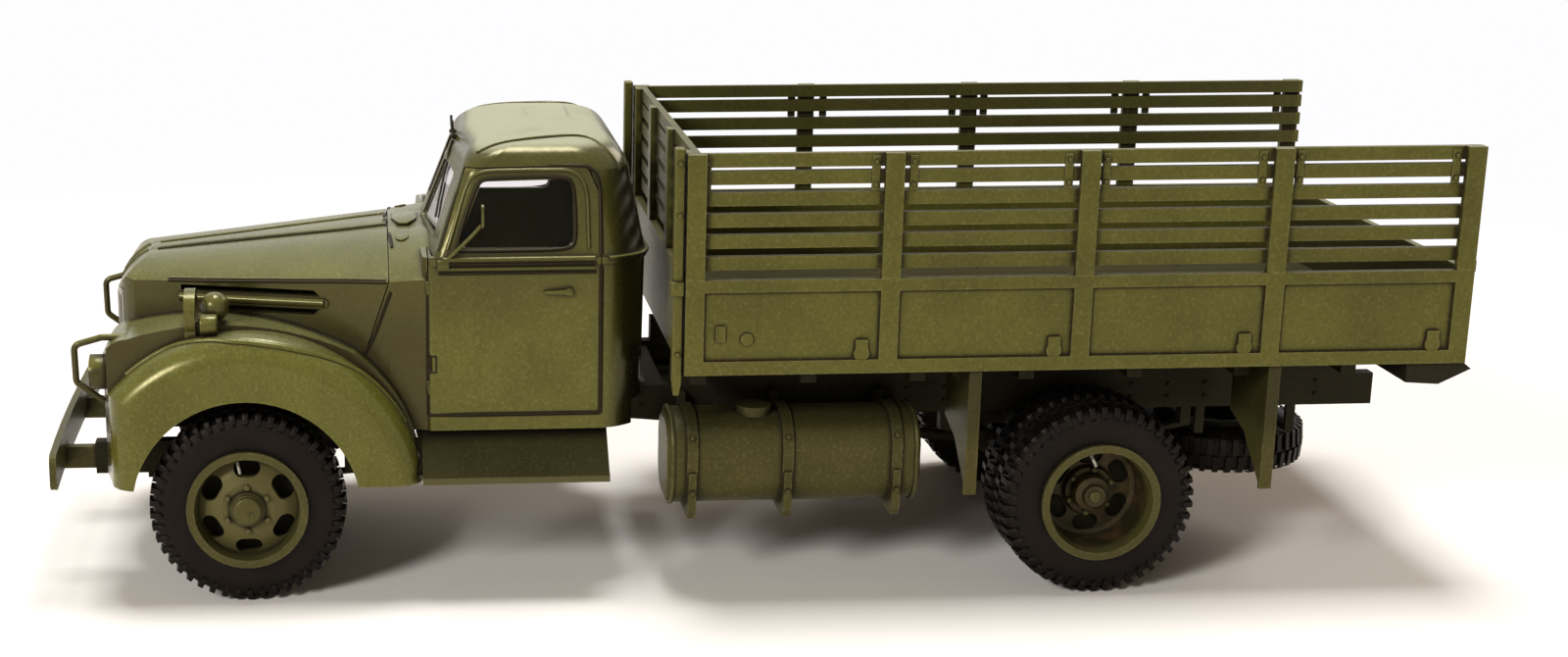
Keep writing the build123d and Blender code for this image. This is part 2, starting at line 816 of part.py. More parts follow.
fender_outer = fender_form(0)
fender_inner = fender_form(sheet)
with BuildPart() as left_fender:
    add(fender_outer)
    add(fender_inner, mode=Mode.SUBTRACT)
    with BuildSketch(Plane.YZ.offset(fender_half_width - 1.5)):
        with Locations((front_axle_y, tyre_radius)):
            Circle(arch_radius)
    extrude(amount=3, mode=Mode.SUBTRACT)
    add(body_outer, mode=Mode.SUBTRACT)
    with Locations((0, front_axle_y, fender_bottom)):
        Box(2 * 5.4, 30, 12, align=(Align.CENTER, Align.CENTER, Align.MIN), mode=Mode.SUBTRACT)
        Box(2 * 10.85, 6, 2, align=(Align.CENTER, Align.CENTER, Align.MIN), mode=Mode.SUBTRACT)
    with Locations((0, aft(fender_front_aft), horn_top + panel_gap)):
        Box(
            2 * rail_x + rail_width + 2 * panel_gap,
            2.0,
            3.0,
            align=(Align.CENTER, Align.CENTER, Align.MAX),
            mode=Mode.SUBTRACT,
        )
    with Locations((0, aft(cab_front_aft - 0.35), fender_bottom)):
        Box(2 * cab_half_width, 6, 12, align=(Align.CENTER, Align.MIN, Align.MIN), mode=Mode.SUBTRACT)
save(left_fender, "left_fender")
with BuildPart() as right_fender:
    mirror(left_fender.part, about=Plane.YZ)
save(right_fender, "right_fender")

# ---- cab ----


def cab_section(z, front, rear, half_width, front_corner, rear_corner, vee):
    """Plan outline of the cab at one height; the front comes to a slight vee."""
    with BuildSketch(Plane.XY.offset(z)) as section:
        with BuildLine():
            Polyline(
                (0, aft(front - vee)),
                (half_width, aft(front)),
                (half_width, aft(rear)),
                (-half_width, aft(rear)),
                (-half_width, aft(front)),
                close=True,
            )
        make_face()
        fillet(section.vertices().group_by(Axis.Y)[-1], rear_corner)
        fillet(section.vertices().group_by(Axis.Y)[1], front_corner)
    return section.sketch


def cab_form(inset):
    """Body up to the belt, greenhouse with sloping sides, and a domed roof."""
    stages = (
        # each stage: rows of z, front, rear, half width, front corner, rear corner, vee
        (
            (cab_bottom, cab_front_aft, 26.1, cab_half_width, 0.7, 3.2, 0.4),
            (belt_top, cab_front_aft, 26.3, cab_half_width, 0.7, 3.3, 0.4),
        ),
        (
            (belt_top, 12.3, 26.3, 10.7, 0.8, 3.3, 0.85),
            (27.9, 14.25, 25.3, 9.35, 1.1, 3.2, 0.65),
        ),
        (
            (27.9, 14.25, 25.3, 9.35, 1.1, 3.2, 0.65),
            (29.35 - inset * 0.6, 15.2 + inset * 0.3, 24.3, 8.4, 2.2, 3.0, 0.5),
            (29.95 - inset, 16.9, 23.1, 6.3, 2.2, 2.4, 0.3),
            (30.4 - inset, 19.0, 21.6, 2.6, 1.0, 1.0, 0.1),
        ),
    )
    with BuildPart() as form:
        for stage, ruled in zip(stages, (True, True, False)):
            for z, front, rear, half_width, front_corner, rear_corner, vee in stage:
                outline = cab_section(
                    z,
                    front + inset,
                    rear - inset,
                    half_width - inset,
                    max(front_corner - inset, 0.3),
                    max(rear_corner - inset, 0.3),
                    vee,
                )
                add(outline)
            loft(ruled=ruled)
    return form.part


def side_cutter(points, radius, low_x, high_x):
    """A prism along X from a rounded side outline of (aft, height) points."""
    with BuildPart() as cutter:
        with BuildSketch(across(low_x)) as outline:
            with BuildLine():
                Polyline(*[(aft(distance), height) for distance, height in points], close=True)
            make_face()
            fillet(outline.vertices(), radius)
        extrude(amount=high_x - low_x)
    return cutter.part


def end_cutter(points, radius, low_aft, high_aft):
    """A prism along Y from a rounded front outline of (x, height) points."""
    with BuildPart() as cutter:
        with BuildSketch(facing(aft(low_aft))) as outline:
            with BuildLine():
                Polyline(*[(-x, height) for x, height in points], close=True)
            make_face()
            fillet(outline.vertices(), radius)
        extrude(amount=high_aft - low_aft)
    return cutter.part


def door_outline(gap):
    return (
        (door_front_aft - gap, door_bottom - gap),
        (door_front_aft - gap, belt_top + 0.1),
        (12.75 - gap, belt_top + 0.4),
        (14.45 - gap, door_top - 0.1 + gap),
        (22.3 + gap, door_top + gap),
        (door_rear_aft + gap, 26.4),
        (door_rear_aft + gap, door_bottom - gap),
    )


side_window = ((13.75, 23.15), (15.45, 27.3), (21.1, 27.4), (21.35, 26.9), (21.35, 23.1))
screen_pane = ((0.35, 23.35), (0.35, 27.3), (6.2, 27.3), (7.5, 23.35))
rear_window = ((-3.6, 24.2), (-3.6, 26.6), (3.6, 26.6), (3.6, 24.2))
cab_outer = cab_form(0)
cab_inner = cab_form(sheet)
left_screen_cutter = end_cutter(screen_pane, 0.35, 9, 17)
right_screen_cutter = mirror(left_screen_cutter, about=Plane.YZ)
rear_window_cutter = end_cutter(rear_window, 0.7, 22, 28)
floor_bottom = rail_top + seat_gap
belt_proud = 0.14
with BuildPart() as belt_ring:
    add(
        cab_section(
            belt_top - 0.5,
            cab_front_aft + 0.3,
            26.3 + belt_proud,
            cab_half_width + belt_proud,
            0.5,
            3.4,
            0.4,
        )
    )
    extrude(amount=0.42)
belt_moulding = belt_ring.part


def seam_band(front_reach, rear_reach):
    """A prism that follows the seam between hood and cowl."""
    seam = (
        (gap_bottom[0] + panel_gap, gap_bottom[1]),
        (gap_top[0] + panel_gap, gap_top[1]),
        (hood_rear_aft + panel_gap, 25),
    )
    front = [(distance - front_reach, height) for distance, height in seam]
    rear = [(distance + rear_reach, height) for distance, height in reversed(seam)]
    return side_prism(front + rear)


with BuildPart() as cowl_lip:
    add(body_form(sheet + seat_gap))
    add(seam_band(cowl_lip_reach, 0), mode=Mode.INTERSECT)
    with BuildPart(mode=Mode.ADD):
        add(body_inner)
        add(seam_band(0, cowl_lip_reach), mode=Mode.INTERSECT)
    add(body_form(2 * sheet), mode=Mode.SUBTRACT)

with BuildPart() as cab_shell:
    add(body_outer)
    add(body_inner, mode=Mode.SUBTRACT)
    add(cowl_side, mode=Mode.INTERSECT)
    add(cowl_lip.part)
    with Locations((0, aft(hood_rear_aft), rail_top + 0.9)):
        Box(
            2 * (cab_half_width - 3),
            10,
            10,
            align=(Align.CENTER, Align.CENTER, Align.MAX),
            mode=Mode.SUBTRACT,
        )
    add(cab_outer)
    add(belt_moulding)
    add(cab_inner, mode=Mode.SUBTRACT)
    with Locations((0, aft(19), floor_bottom)):
        Box(
            2 * (cab_half_width - 2 * sheet),
            20,
            5,
            align=(Align.CENTER, Align.CENTER, Align.MAX),
            mode=Mode.SUBTRACT,
        )
    add(side_cutter(door_outline(panel_gap), 0.2, 7.5, 12), mode=Mode.SUBTRACT)
    add(side_cutter(door_outline(panel_gap), 0.2, -12, -7.5), mode=Mode.SUBTRACT)
    add(left_screen_cutter, mode=Mode.SUBTRACT)
    add(right_screen_cutter, mode=Mode.SUBTRACT)
    add(rear_window_cutter, mode=Mode.SUBTRACT)
save(cab_shell, "cab_shell")

with BuildPart() as left_door:
    add(cab_outer)
    add(belt_moulding)
    add(cab_inner, mode=Mode.SUBTRACT)
    add(side_cutter(door_outline(0), 0.2, 7.5, 12), mode=Mode.INTERSECT)
    add(side_cutter(side_window, 0.5, 7, 12), mode=Mode.SUBTRACT)
save(left_door, "left_door")
with BuildPart() as right_door:
    mirror(left_door.part, about=Plane.YZ)
save(right_door, "right_door")


def shrunk(points, gap, middle):
    """An opening's outline drawn in towards its middle, for the pane that fills it."""
    return [
        (x + gap if x < middle[0] else x - gap, z + gap if z < middle[1] else z - gap) for x, z in points
    ]


glass_outer = cab_form(glass_inset)
glass_inner = cab_form(glass_inset + glass_thickness)
with BuildPart() as windscreen:
    add(glass_outer)
    add(glass_inner, mode=Mode.SUBTRACT)
    add(end_cutter(shrunk(screen_pane, seat_gap, (4, 25)), 0.35, 9, 17), mode=Mode.INTERSECT)
    mirror(about=Plane.YZ)
save(windscreen, "windscreen")

with BuildPart() as rear_glass:
    add(glass_outer)
    add(glass_inner, mode=Mode.SUBTRACT)
    add(end_cutter(shrunk(rear_window, seat_gap, (0, 25)), 0.7, 22, 28), mode=Mode.INTERSECT)
save(rear_glass, "rear_glass")

with BuildPart() as left_door_glass:
    add(glass_outer)
    add(glass_inner, mode=Mode.SUBTRACT)
    add(side_cutter(shrunk(side_window, seat_gap, (17, 25)), 0.45, 7, 12), mode=Mode.INTERSECT)
save(left_door_glass, "left_door_glass")
with BuildPart() as right_door_glass:
    mirror(left_door_glass.part, about=Plane.YZ)
save(right_door_glass, "right_door_glass")

floor_front = cab_front_aft + sheet + seat_gap
floor_rear = 26.1 - sheet - seat_gap
with BuildPart() as cab_floor:
    add(
        cab_section(
            floor_bottom,
            floor_front,
            floor_rear,
            cab_half_width - sheet - seat_gap,
            0.3,
            3.2 - sheet,
            0.1,
        )
    )
    extrude(amount=cab_floor_top - floor_bottom)
save(cab_floor, "cab_floor")

seat_half_width = 9.0
with BuildPart() as bench_seat:
    with BuildSketch(across(-seat_half_width)) as seat_side:
        with BuildLine():
            Polyline(
                (aft(18.2), cab_floor_top),
                (aft(18.0), cab_floor_top + 3.0),
                (aft(22.3), cab_floor_top + 2.7),
                (aft(23.2), cab_floor_top + 8.0),
                (aft(24.6), cab_floor_top + 8.0),
                (aft(24.0), cab_floor_top),
                close=True,
            )
        make_face()
        fillet(seat_side.vertices().group_by(Axis.Y)[1:], 0.35)
    extrude(amount=2 * seat_half_width)
save(bench_seat, "bench_seat")

dash_front = cab_front_aft + sheet + seat_gap
with BuildPart() as dashboard:
    with BuildSketch(across(-cab_half_width + 1.4)):
        with BuildLine():
            Polyline(
                (aft(dash_front), 19.6),
                (aft(dash_front), 22.3),
                (aft(13.3), 22.3),
                (aft(13.9), 21.8),
                (aft(13.6), 19.8),
                close=True,
            )
        make_face()
    extrude(amount=2 * (cab_half_width - 1.4))
save(dashboard, "dashboard")

wheel_middle = Vector(4.8, aft(16.4), 20.2)
column_foot = Vector(4.8, aft(12.6), cab_floor_top + 0.6)
column_run = wheel_middle - column_foot
steering_plane = Plane(origin=wheel_middle, x_dir=(1, 0, 0), z_dir=column_run)
with BuildPart() as steering_wheel:
    with BuildSketch(Plane(origin=column_foot, x_dir=(1, 0, 0), z_dir=column_run)):
        Circle(0.28)
    extrude(amount=column_run.length)
    with BuildSketch(steering_plane):
        Circle(2.4)
        Circle(2.1, mode=Mode.SUBTRACT)
        with PolarLocations(0, 3, start_angle=90):
            with Locations((1.15, 0)):
                Rectangle(2.3, 0.3)
        Circle(0.5)
    extrude(amount=0.3)
save(steering_wheel, "steering_wheel")

# ---- lamps, guards, mirror and running boards ----

lamp_x = 9.3
lamp_z = 15.0
lamp_radius = 1.15
with BuildPart() as headlamps:
    with BuildSketch(Plane(origin=(lamp_x, aft(fender_front_aft), lamp_z), x_dir=(1, 0, 0), z_dir=(0, -1, 0))):
        Circle(lamp_radius)
    extrude(amount=0.5)
    with BuildSketch(Plane(origin=(lamp_x, aft(fender_front_aft - 0.5), lamp_z), x_dir=(1, 0, 0), z_dir=(0, -1, 0))):
        Circle(lamp_radius)
    extrude(amount=0.45, taper=35)
    mirror(about=Plane.YZ)
save(headlamps, "headlamps")

guard_wire = 0.22
with BuildPart() as headlamp_guards:
    with BuildLine() as guard_path:
        FilletPolyline(
            (lamp_x, aft(fender_front_aft), 13.0),
            (lamp_x, aft(-11.05), 14.3),
            (lamp_x, aft(-11.1), 16.8),
            (lamp_x, aft(-9.3), 17.3),
            (lamp_x, aft(-7.7), 17.3),
            radius=0.5,
        )
    with BuildSketch(Plane(origin=guard_path.line @ 0, z_dir=guard_path.line % 0)):
        Circle(guard_wire)
    sweep()
    add(fender_outer, mode=Mode.SUBTRACT)
    mirror(about=Plane.YZ)
save(headlamp_guards, "headlamp_guards")

marker_x = 10.1
marker_aft = -3.4
marker_base = 17.3
with BuildPart() as blackout_lamp:
    with BuildSketch(Plane(origin=(marker_x, aft(marker_aft - 0.35), marker_base + 1.75), z_dir=(0, 1, 0))):
        Circle(1.6)
        Circle(1.2, mode=Mode.SUBTRACT)
    extrude(amount=0.7)
    with Locations((marker_x, aft(marker_aft + 1.55), marker_base + 2.15)):
        Sphere(0.95)
    with Locations((marker_x, aft(marker_aft + 1.3), marker_base + 0.9)):
        Sphere(0.69)
    with Locations((marker_x, aft(marker_aft), marker_base)):
        Box(0.5, 2.2, 1.2, align=(Align.CENTER, Align.MIN, Align.MIN))
        Box(2.6, 0.7, 1.2, align=(Align.CENTER, Align.CENTER, Align.MIN))
    with Locations((marker_x, aft(marker_aft + 1.3), marker_base)):
        Box(0.5, 0.5, 2.0, align=(Align.CENTER, Align.CENTER, Align.MIN))
    add(fender_outer, mode=Mode.SUBTRACT)
save(blackout_lamp, "blackout_lamp")

mirror_arm_foot = Vector(cab_half_width + seat_gap, aft(13.0), 21.2)
mirror_head = Vector(13.6, aft(15.7), 25.3)
mirror_run = mirror_head - mirror_arm_foot
with BuildPart() as door_mirror:
    with BuildSketch(Plane(origin=mirror_arm_foot, z_dir=mirror_run)):
        Circle(0.2)
    extrude(amount=mirror_run.length)
    with Locations(mirror_head):
        Box(1.5, 0.35, 2.2)
    with Locations(mirror_arm_foot):
        Box(0.35, 0.8, 0.8, align=(Align.MIN, Align.CENTER, Align.CENTER))
    with Locations(mirror_arm_foot):
        Box(2, 4, 6, align=(Align.MAX, Align.CENTER, Align.CENTER), mode=Mode.SUBTRACT)
save(door_mirror, "door_mirror")

board_front = 11.35 + 2 * seat_gap
board_rear = 23.6
board_inner_x = 10.1
with BuildPart() as running_boards:
    with BuildSketch(facing(aft(board_front))):
        with BuildLine():
            Polyline(
                (-fender_half_width, 8.05),
                (-fender_half_width, 8.5),
                (-12.9, 8.6),
                (-board_inner_x - 0.4, cab_bottom - panel_gap),
                (-board_inner_x, cab_bottom - panel_gap),
                (-board_inner_x, cab_bottom - 0.5),
                (-12.75, 8.05),
                close=True,
            )
        make_face()
    extrude(amount=board_rear - board_front)
    with BuildSketch(facing(aft(10.4))):
        with BuildLine():
            Polyline(
                (-12.4, 8.25),
                (-12.4, 8.85),
                (-board_inner_x - 0.4, cab_bottom - panel_gap),
                (-board_inner_x, cab_bottom - panel_gap),
                (-board_inner_x, cab_bottom - 0.5),
                close=True,
            )
        make_face()
    extrude(amount=board_front + 0.1 - 10.4)
    add(fender_outer.moved(Location((0, 2 * seat_gap, 0))), mode=Mode.SUBTRACT)
    for distance in (13.0, 21.5):
        with Locations((rail_x + rail_width / 2, aft(distance), cab_bottom - panel_gap)):
            Box(
                board_inner_x + 0.2 - rail_x - rail_width / 2,
                0.8,
                0.6,
                align=(Align.MIN, Align.CENTER, Align.MAX),
            )
    mirror(about=Plane.YZ)
save(running_boards, "running_boards")

# ---- fuel tank ----

tank_middle_x = (tank_inner_x + tank_outer_x) / 2
tank_middle_z = (tank_bottom + tank_top) / 2
tank_width = tank_outer_x - tank_inner_x
tank_height = tank_top - tank_bottom
with BuildPart() as fuel_tank:
    with BuildSketch(facing(aft(tank_front_aft))):
        with Locations((-tank_middle_x, tank_middle_z)):
            RectangleRounded(tank_width, tank_height, tank_corner)
    extrude(amount=tank_length)
    chamfer(fuel_tank.edges().group_by(Axis.Y)[0], 0.45)
    chamfer(fuel_tank.edges().group_by(Axis.Y)[-1], 0.45)
    with Locations((tank_middle_x + 0.5, aft(tank_front_aft + 5.9), tank_top - 0.2)):
        Cylinder(1.15, 0.65, align=(Align.CENTER, Align.CENTER, Align.MIN))
save(fuel_tank, "fuel_tank")

strap_thickness = 0.18
with BuildPart() as tank_brackets:
    for distance in strap_aft:
        with BuildSketch(facing(aft(distance - strap_width / 2))):
            with Locations((-tank_middle_x, tank_middle_z)):
                RectangleRounded(
                    tank_width + 2 * strap_thickness + 2 * seat_gap,
                    tank_height + 2 * strap_thickness + 2 * seat_gap,
                    tank_corner + strap_thickness,
                )
                RectangleRounded(
                    tank_width + 2 * seat_gap,
                    tank_height + 2 * seat_gap,
                    tank_corner + seat_gap,
                    mode=Mode.SUBTRACT,
                )
        extrude(amount=strap_width)
        with BuildSketch(facing(aft(distance - 0.25))):
            with BuildLine():
                Polyline(
                    (-rail_x - rail_width / 2, rail_top - 0.3),
                    (-rail_x - rail_width / 2, tank_middle_z),
                    (-tank_inner_x + 0.3, tank_bottom - 0.7),
                    (-tank_outer_x + 0.1, tank_bottom - 0.6),
                    (-tank_outer_x - 0.35, tank_bottom),
                    (-tank_outer_x - 0.35, tank_bottom + 2.6),
                    (-tank_inner_x, tank_bottom + 2.6),
                    (-tank_inner_x, rail_top - 0.3),
                    close=True,
                )
            make_face()
            with Locations((-tank_middle_x, tank_middle_z)):
                RectangleRounded(
                    tank_width + 2 * seat_gap,
                    tank_height + 2 * seat_gap,
                    tank_corner + seat_gap,
                    mode=Mode.SUBTRACT,
                )
        extrude(amount=0.5)
save(tank_brackets, "tank_brackets")

# ---- load bed ----

wall_outer_x = bed_half_width - 0.2
wall_inner_x = wall_outer_x - panel_sheet
floor_half_width = wall_inner_x - seat_gap
floor_top = bed_bottom + floor_thickness
post_aft = [
    bed_front_aft + post_width / 2 + index * (bed_length - post_width) / (side_posts - 1)
    for index in range(side_posts)
]

longitudinal_sill_front = bed_front_aft + 0.35
longitudinal_sill_rear = bed_rear_aft - 3.75
with BuildPart() as long_sills:
    with Locations((rail_x, aft(longitudinal_sill_front), rail_top)):
        Box(
            rail_width,
            longitudinal_sill_rear - longitudinal_sill_front,
            longitudinal_sill_top - rail_top,
            align=(Align.CENTER, Align.MIN, Align.MIN),
        )
    mirror(about=Plane.YZ)
save(long_sills, "long_sills")

sill_end_gap = 2.6  # how far the sills stop short of the bed's side
sill_pitch = (bed_length - 7.85) / (cross_sills - 1)
with BuildPart() as sills:
    for index in range(cross_sills):
        with Locations((0, aft(bed_front_aft + 1.3 + index * sill_pitch), longitudinal_sill_top)):
            Box(
                2 * (bed_half_width - sill_end_gap),
                sill_depth,
                bed_bottom - longitudinal_sill_top,
                align=(Align.CENTER, Align.CENTER, Align.MIN),
            )
    with BuildSketch(across(-wall_outer_x)):
        with BuildLine():
            Polyline(
                (aft(longitudinal_sill_rear), bed_bottom),
                (aft(longitudinal_sill_rear), longitudinal_sill_top),
                (aft(bed_rear_aft - 1.55), longitudinal_sill_top - 0.15),
                (aft(bed_rear_aft + gutter_reach - 0.1), bed_bottom - 0.45),
                (aft(bed_rear_aft), bed_bottom),
                close=True,
            )
        make_face()
    extrude(amount=2 * wall_outer_x)
save(sills, "cross_sills")

with BuildPart() as bed_floor:
    with Locations((0, aft(bed_front_aft + panel_thickness + seat_gap), bed_bottom)):
        Box(
            2 * floor_half_width,
            bed_length - 2 * panel_thickness - 2 * seat_gap,
            floor_thickness,
            align=(Align.CENTER, Align.MIN, Align.MIN),
        )
save(bed_floor, "bed_floor")


def wall_with_ribs(plane, middle, length, rib_places, latch_places):
    """A low bed wall: a plate with rails along top and bottom, upright ribs and latches."""
    with BuildPart() as wall:
        with BuildSketch(plane):
            with Locations((middle, (bed_bottom + panel_top) / 2)):
                Rectangle(length, panel_top - bed_bottom)
        extrude(amount=panel_sheet)
        with BuildSketch(plane):
            with Locations((middle, bed_bottom + 0.45)):
                Rectangle(length, 0.9)
            with Locations((middle, panel_top - panel_rail_height / 2)):
                Rectangle(length, panel_rail_height)
            with Locations([(place, (bed_bottom + panel_top) / 2) for place in rib_places]):
                Rectangle(post_width, panel_top - bed_bottom)
        extrude(amount=panel_thickness)
        with BuildSketch(plane):
            with Locations([(place, bed_bottom + 1.7) for place in latch_places]):
                Rectangle(0.8, 1.0)
                with Locations((0, -0.4)):
                    Circle(0.5)
        extrude(amount=panel_thickness - 0.02)
    return wall.part


wall_middle = aft(bed_front_aft + bed_length / 2)
with BuildPart() as left_panel:
    add(
        wall_with_ribs(
            across(wall_inner_x),
            wall_middle,
            bed_length,
            [aft(distance) for distance in post_aft],
            [aft(distance - 1.7) for distance in post_aft[1:]],
        )
    )
save(left_panel, "left_panel")
with BuildPart() as right_panel:
    mirror(left_panel.part, about=Plane.YZ)
save(right_panel, "right_panel")

end_half_width = wall_inner_x - seat_gap
end_ribs = (-end_half_width + post_width / 2, -4.9, 4.9, end_half_width - post_width / 2)
with BuildPart() as tailgate:
    add(
        wall_with_ribs(
            facing(aft(bed_rear_aft - panel_thickness)),
            0,
            2 * end_half_width,
            end_ribs,
            (-9.7, 0, 9.7),
        )
    )
    for side in (-1, 1):
        with Locations((side * (end_half_width - 0.6), aft(bed_rear_aft), panel_top - 0.3)):
            Box(0.5, 0.5, 0.7, align=(Align.CENTER, Align.MIN, Align.MIN))
save(tailgate, "tailgate")

with BuildPart() as headboard:
    with BuildSketch(facing(aft(bed_front_aft))):
        with Locations((0, (bed_bottom + panel_top) / 2)):
            Rectangle(2 * end_half_width, panel_top - bed_bottom)
    extrude(amount=panel_thickness)
save(headboard, "headboard")

rack_top = slat_tops[0]
front_post_x = [
    -end_half_width + post_width / 2 + index * (2 * end_half_width - post_width) / (front_posts - 1)
    for index in range(front_posts)
]
with BuildPart() as left_rack:
    with BuildSketch(across(wall_inner_x + 0.05)):
        with Locations([(aft(distance), (panel_top + rack_top) / 2) for distance in post_aft]):
            Rectangle(post_width, rack_top - panel_top)
    extrude(amount=post_depth)
    with BuildSketch(across(wall_inner_x + 0.05 - slat_thickness)):
        with Locations([(wall_middle, top - slat_height / 2) for top in slat_tops]):
            Rectangle(bed_length, slat_height)
    extrude(amount=slat_thickness)
save(left_rack, "left_rack")
with BuildPart() as right_rack:
    mirror(left_rack.part, about=Plane.YZ)
save(right_rack, "right_rack")

front_slat_half = wall_inner_x + 0.05 - slat_thickness - seat_gap
with BuildPart() as front_rack:
    with BuildSketch(facing(aft(bed_front_aft))):
        with Locations([(x, (panel_top + rack_top) / 2) for x in front_post_x[1:-1]]):
            Rectangle(post_width, rack_top - panel_top)
        for side in (-1, 1):
            with Locations((side * (front_slat_half - post_width / 2), (panel_top + rack_top) / 2)):
                Rectangle(post_width, rack_top - panel_top)
    extrude(amount=post_depth)
    with BuildSketch(facing(aft(bed_front_aft + post_depth))):
        with Locations([(0, top - slat_height / 2) for top in slat_tops]):
            Rectangle(2 * front_slat_half, slat_height)
    extrude(amount=slat_thickness)
save(front_rack, "front_rack")

board_outer_x = bed_half_width - board_inset
gusset_aft = (-1.4, 1.4)
with BuildPart() as mudguard_boards:
    for distance, gusset in zip(board_aft, gusset_aft):
        with BuildSketch(facing(aft(distance - board_thickness / 2))):
            with BuildLine():
                Polyline(
                    (-board_outer_x, bed_bottom),
                    (-board_outer_x, board_bottom),
                    (-board_outer_x + 0.6, board_bottom),
                    (-11.0, 10.0),
                    (-8.3, 10.8),
                    (-8.3, bed_bottom),
                    close=True,
                )
            make_face()
        extrude(amount=board_thickness)
        with BuildSketch(facing(aft(distance - 0.4))):
            with BuildLine():
                Polyline(
                    (-board_outer_x, bed_bottom),
                    (-board_outer_x, board_bottom),
                    (-board_outer_x + 0.3, board_bottom),
                    (-board_outer_x + 0.3, bed_bottom),
                    close=True,
                )
            make_face()
        extrude(amount=0.8)
        with BuildSketch(across(12.0)):
            with BuildLine():
                Polyline(
                    (aft(distance), bed_bottom),
                    (aft(distance), bed_bottom - 2.2),
                    (aft(distance + gusset), bed_bottom),
                    close=True,
                )
            make_face()
        extrude(amount=0.3)
    mirror(about=Plane.YZ)
save(mudguard_boards, "mudguard_boards")
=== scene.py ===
import math

import bpy
from mathutils import Matrix, Vector
from mathutils.bvhtree import BVHTree


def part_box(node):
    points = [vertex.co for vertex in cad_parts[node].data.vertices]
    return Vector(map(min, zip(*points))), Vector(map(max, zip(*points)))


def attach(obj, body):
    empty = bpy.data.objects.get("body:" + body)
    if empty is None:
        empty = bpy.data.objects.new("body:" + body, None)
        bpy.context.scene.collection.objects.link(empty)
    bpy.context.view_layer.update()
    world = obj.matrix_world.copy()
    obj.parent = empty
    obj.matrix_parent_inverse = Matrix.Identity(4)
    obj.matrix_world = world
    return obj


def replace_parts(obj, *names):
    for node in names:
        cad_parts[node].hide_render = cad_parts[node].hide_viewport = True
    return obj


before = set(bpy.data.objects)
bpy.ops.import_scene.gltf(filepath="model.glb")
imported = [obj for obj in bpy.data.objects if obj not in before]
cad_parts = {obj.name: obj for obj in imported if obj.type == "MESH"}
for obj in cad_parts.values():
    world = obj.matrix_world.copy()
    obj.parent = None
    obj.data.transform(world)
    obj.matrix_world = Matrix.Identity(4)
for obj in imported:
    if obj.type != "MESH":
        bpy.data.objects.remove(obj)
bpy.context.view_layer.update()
mm = 0.001

# the axles, in millimetres
frontAxleY = -33.45
rearAxleY = 22.35
axleZ = 6.45


# node helpers; a value is a number, a colour or another node's output

def feed(tree, socket, value):
    if hasattr(value, "links"):
        tree.links.new(value, socket)
    else:
        socket.default_value = (*value, 1) if socket.type == "RGBA" else value


def feedAll(tree, node, values):
    for label, value in values.items():
        feed(tree, node.inputs[label], value)


def addNode(tree, kind, values=None, **settings):
    node = tree.nodes.new("ShaderNode" + kind)
    for label, value in settings.items():
        setattr(node, label, value)
    feedAll(tree, node, values or {})
    return node


def maths(tree, operation, first, second=0, clamp=False):
    return addNode(tree, "Math", {0: first, 1: second}, operation=operation, use_clamp=clamp).outputs[0]


def times(tree, *factors):
    product = factors[0]
    for factor in factors[1:]:
        product = maths(tree, "MULTIPLY", product, factor)
    return product


def ramp(tree, value, low, high, lowResult=0.0, highResult=1.0):
    values = {"Value": value, "From Min": low, "From Max": high, "To Min": lowResult, "To Max": highResult}
    return addNode(tree, "MapRange", values, interpolation_type="SMOOTHSTEP").outputs["Result"]


def blendColour(tree, share, first, second):
    node = addNode(tree, "Mix", data_type="RGBA")
    sockets = {socket.name: socket for socket in node.inputs if socket.enabled}
    for label, value in (("Factor", share), ("A", first), ("B", second)):
        feed(tree, sockets[label], value)
    return [socket for socket in node.outputs if socket.enabled][0]


def ownPlace(tree):
    return addNode(tree, "TexCoord").outputs["Object"]


def ownNormal(tree):
    return addNode(tree, "NewGeometry").outputs["Normal"]


def axesOf(tree, vector):
    return addNode(tree, "SeparateXYZ", {0: vector}).outputs


def lengthOf(tree, vector):
    return addNode(tree, "VectorMath", {0: vector}, operation="LENGTH").outputs["Value"]


def noiseAt(tree, place, scale, detail, stretch=(1, 1, 1)):
    # scale is in waves per millimetre
    waves = tuple(scale / mm * part for part in stretch)
    size = addNode(tree, "VectorMath", {0: place, 1: waves}, operation="MULTIPLY")
    return addNode(tree, "TexNoise", {"Vector": size.outputs[0], "Scale": 1, "Detail": detail}).outputs["Fac"]


def waveAt(tree, place, scale, distortion):
    return addNode(tree, "TexWave", {"Vector": place, "Scale": scale, "Distortion": distortion}).outputs["Fac"]


def rubbedEdge(tree, radius, low, high):
    # high where a rounded normal leaves the face's own
    rounded = addNode(tree, "Bevel", {"Radius": radius * mm}, samples=4).outputs["Normal"]
    match = addNode(tree, "VectorMath", {0: ownNormal(tree), 1: rounded}, operation="DOT_PRODUCT")
    return ramp(tree, match.outputs["Value"], low, high)


def nearCorner(tree, distance, low, high, samples):
    corner = addNode(tree, "AmbientOcclusion", {"Distance": distance * mm}, samples=samples)
    return ramp(tree, corner.outputs["AO"], low, high)


def addRelief(tree, shader, height, distance, strength):
    bump = addNode(tree, "Bump", {"Height": height, "Distance": distance * mm, "Strength": strength})
    feed(tree, shader.inputs["Normal"], bump.outputs["Normal"])


def rayMask(tree, *kinds):
    # 1 for the named kinds of ray, 0 for the rest
    path = addNode(tree, "LightPath")
    mask = path.outputs[kinds[0]]
    for kind in kinds[1:]:
        mask = maths(tree, "MAXIMUM", mask, path.outputs[kind])
    return mask


def mixShaders(tree, share, first, second):
    return addNode(tree, "MixShader", {0: share, 1: first, 2: second}).outputs[0]


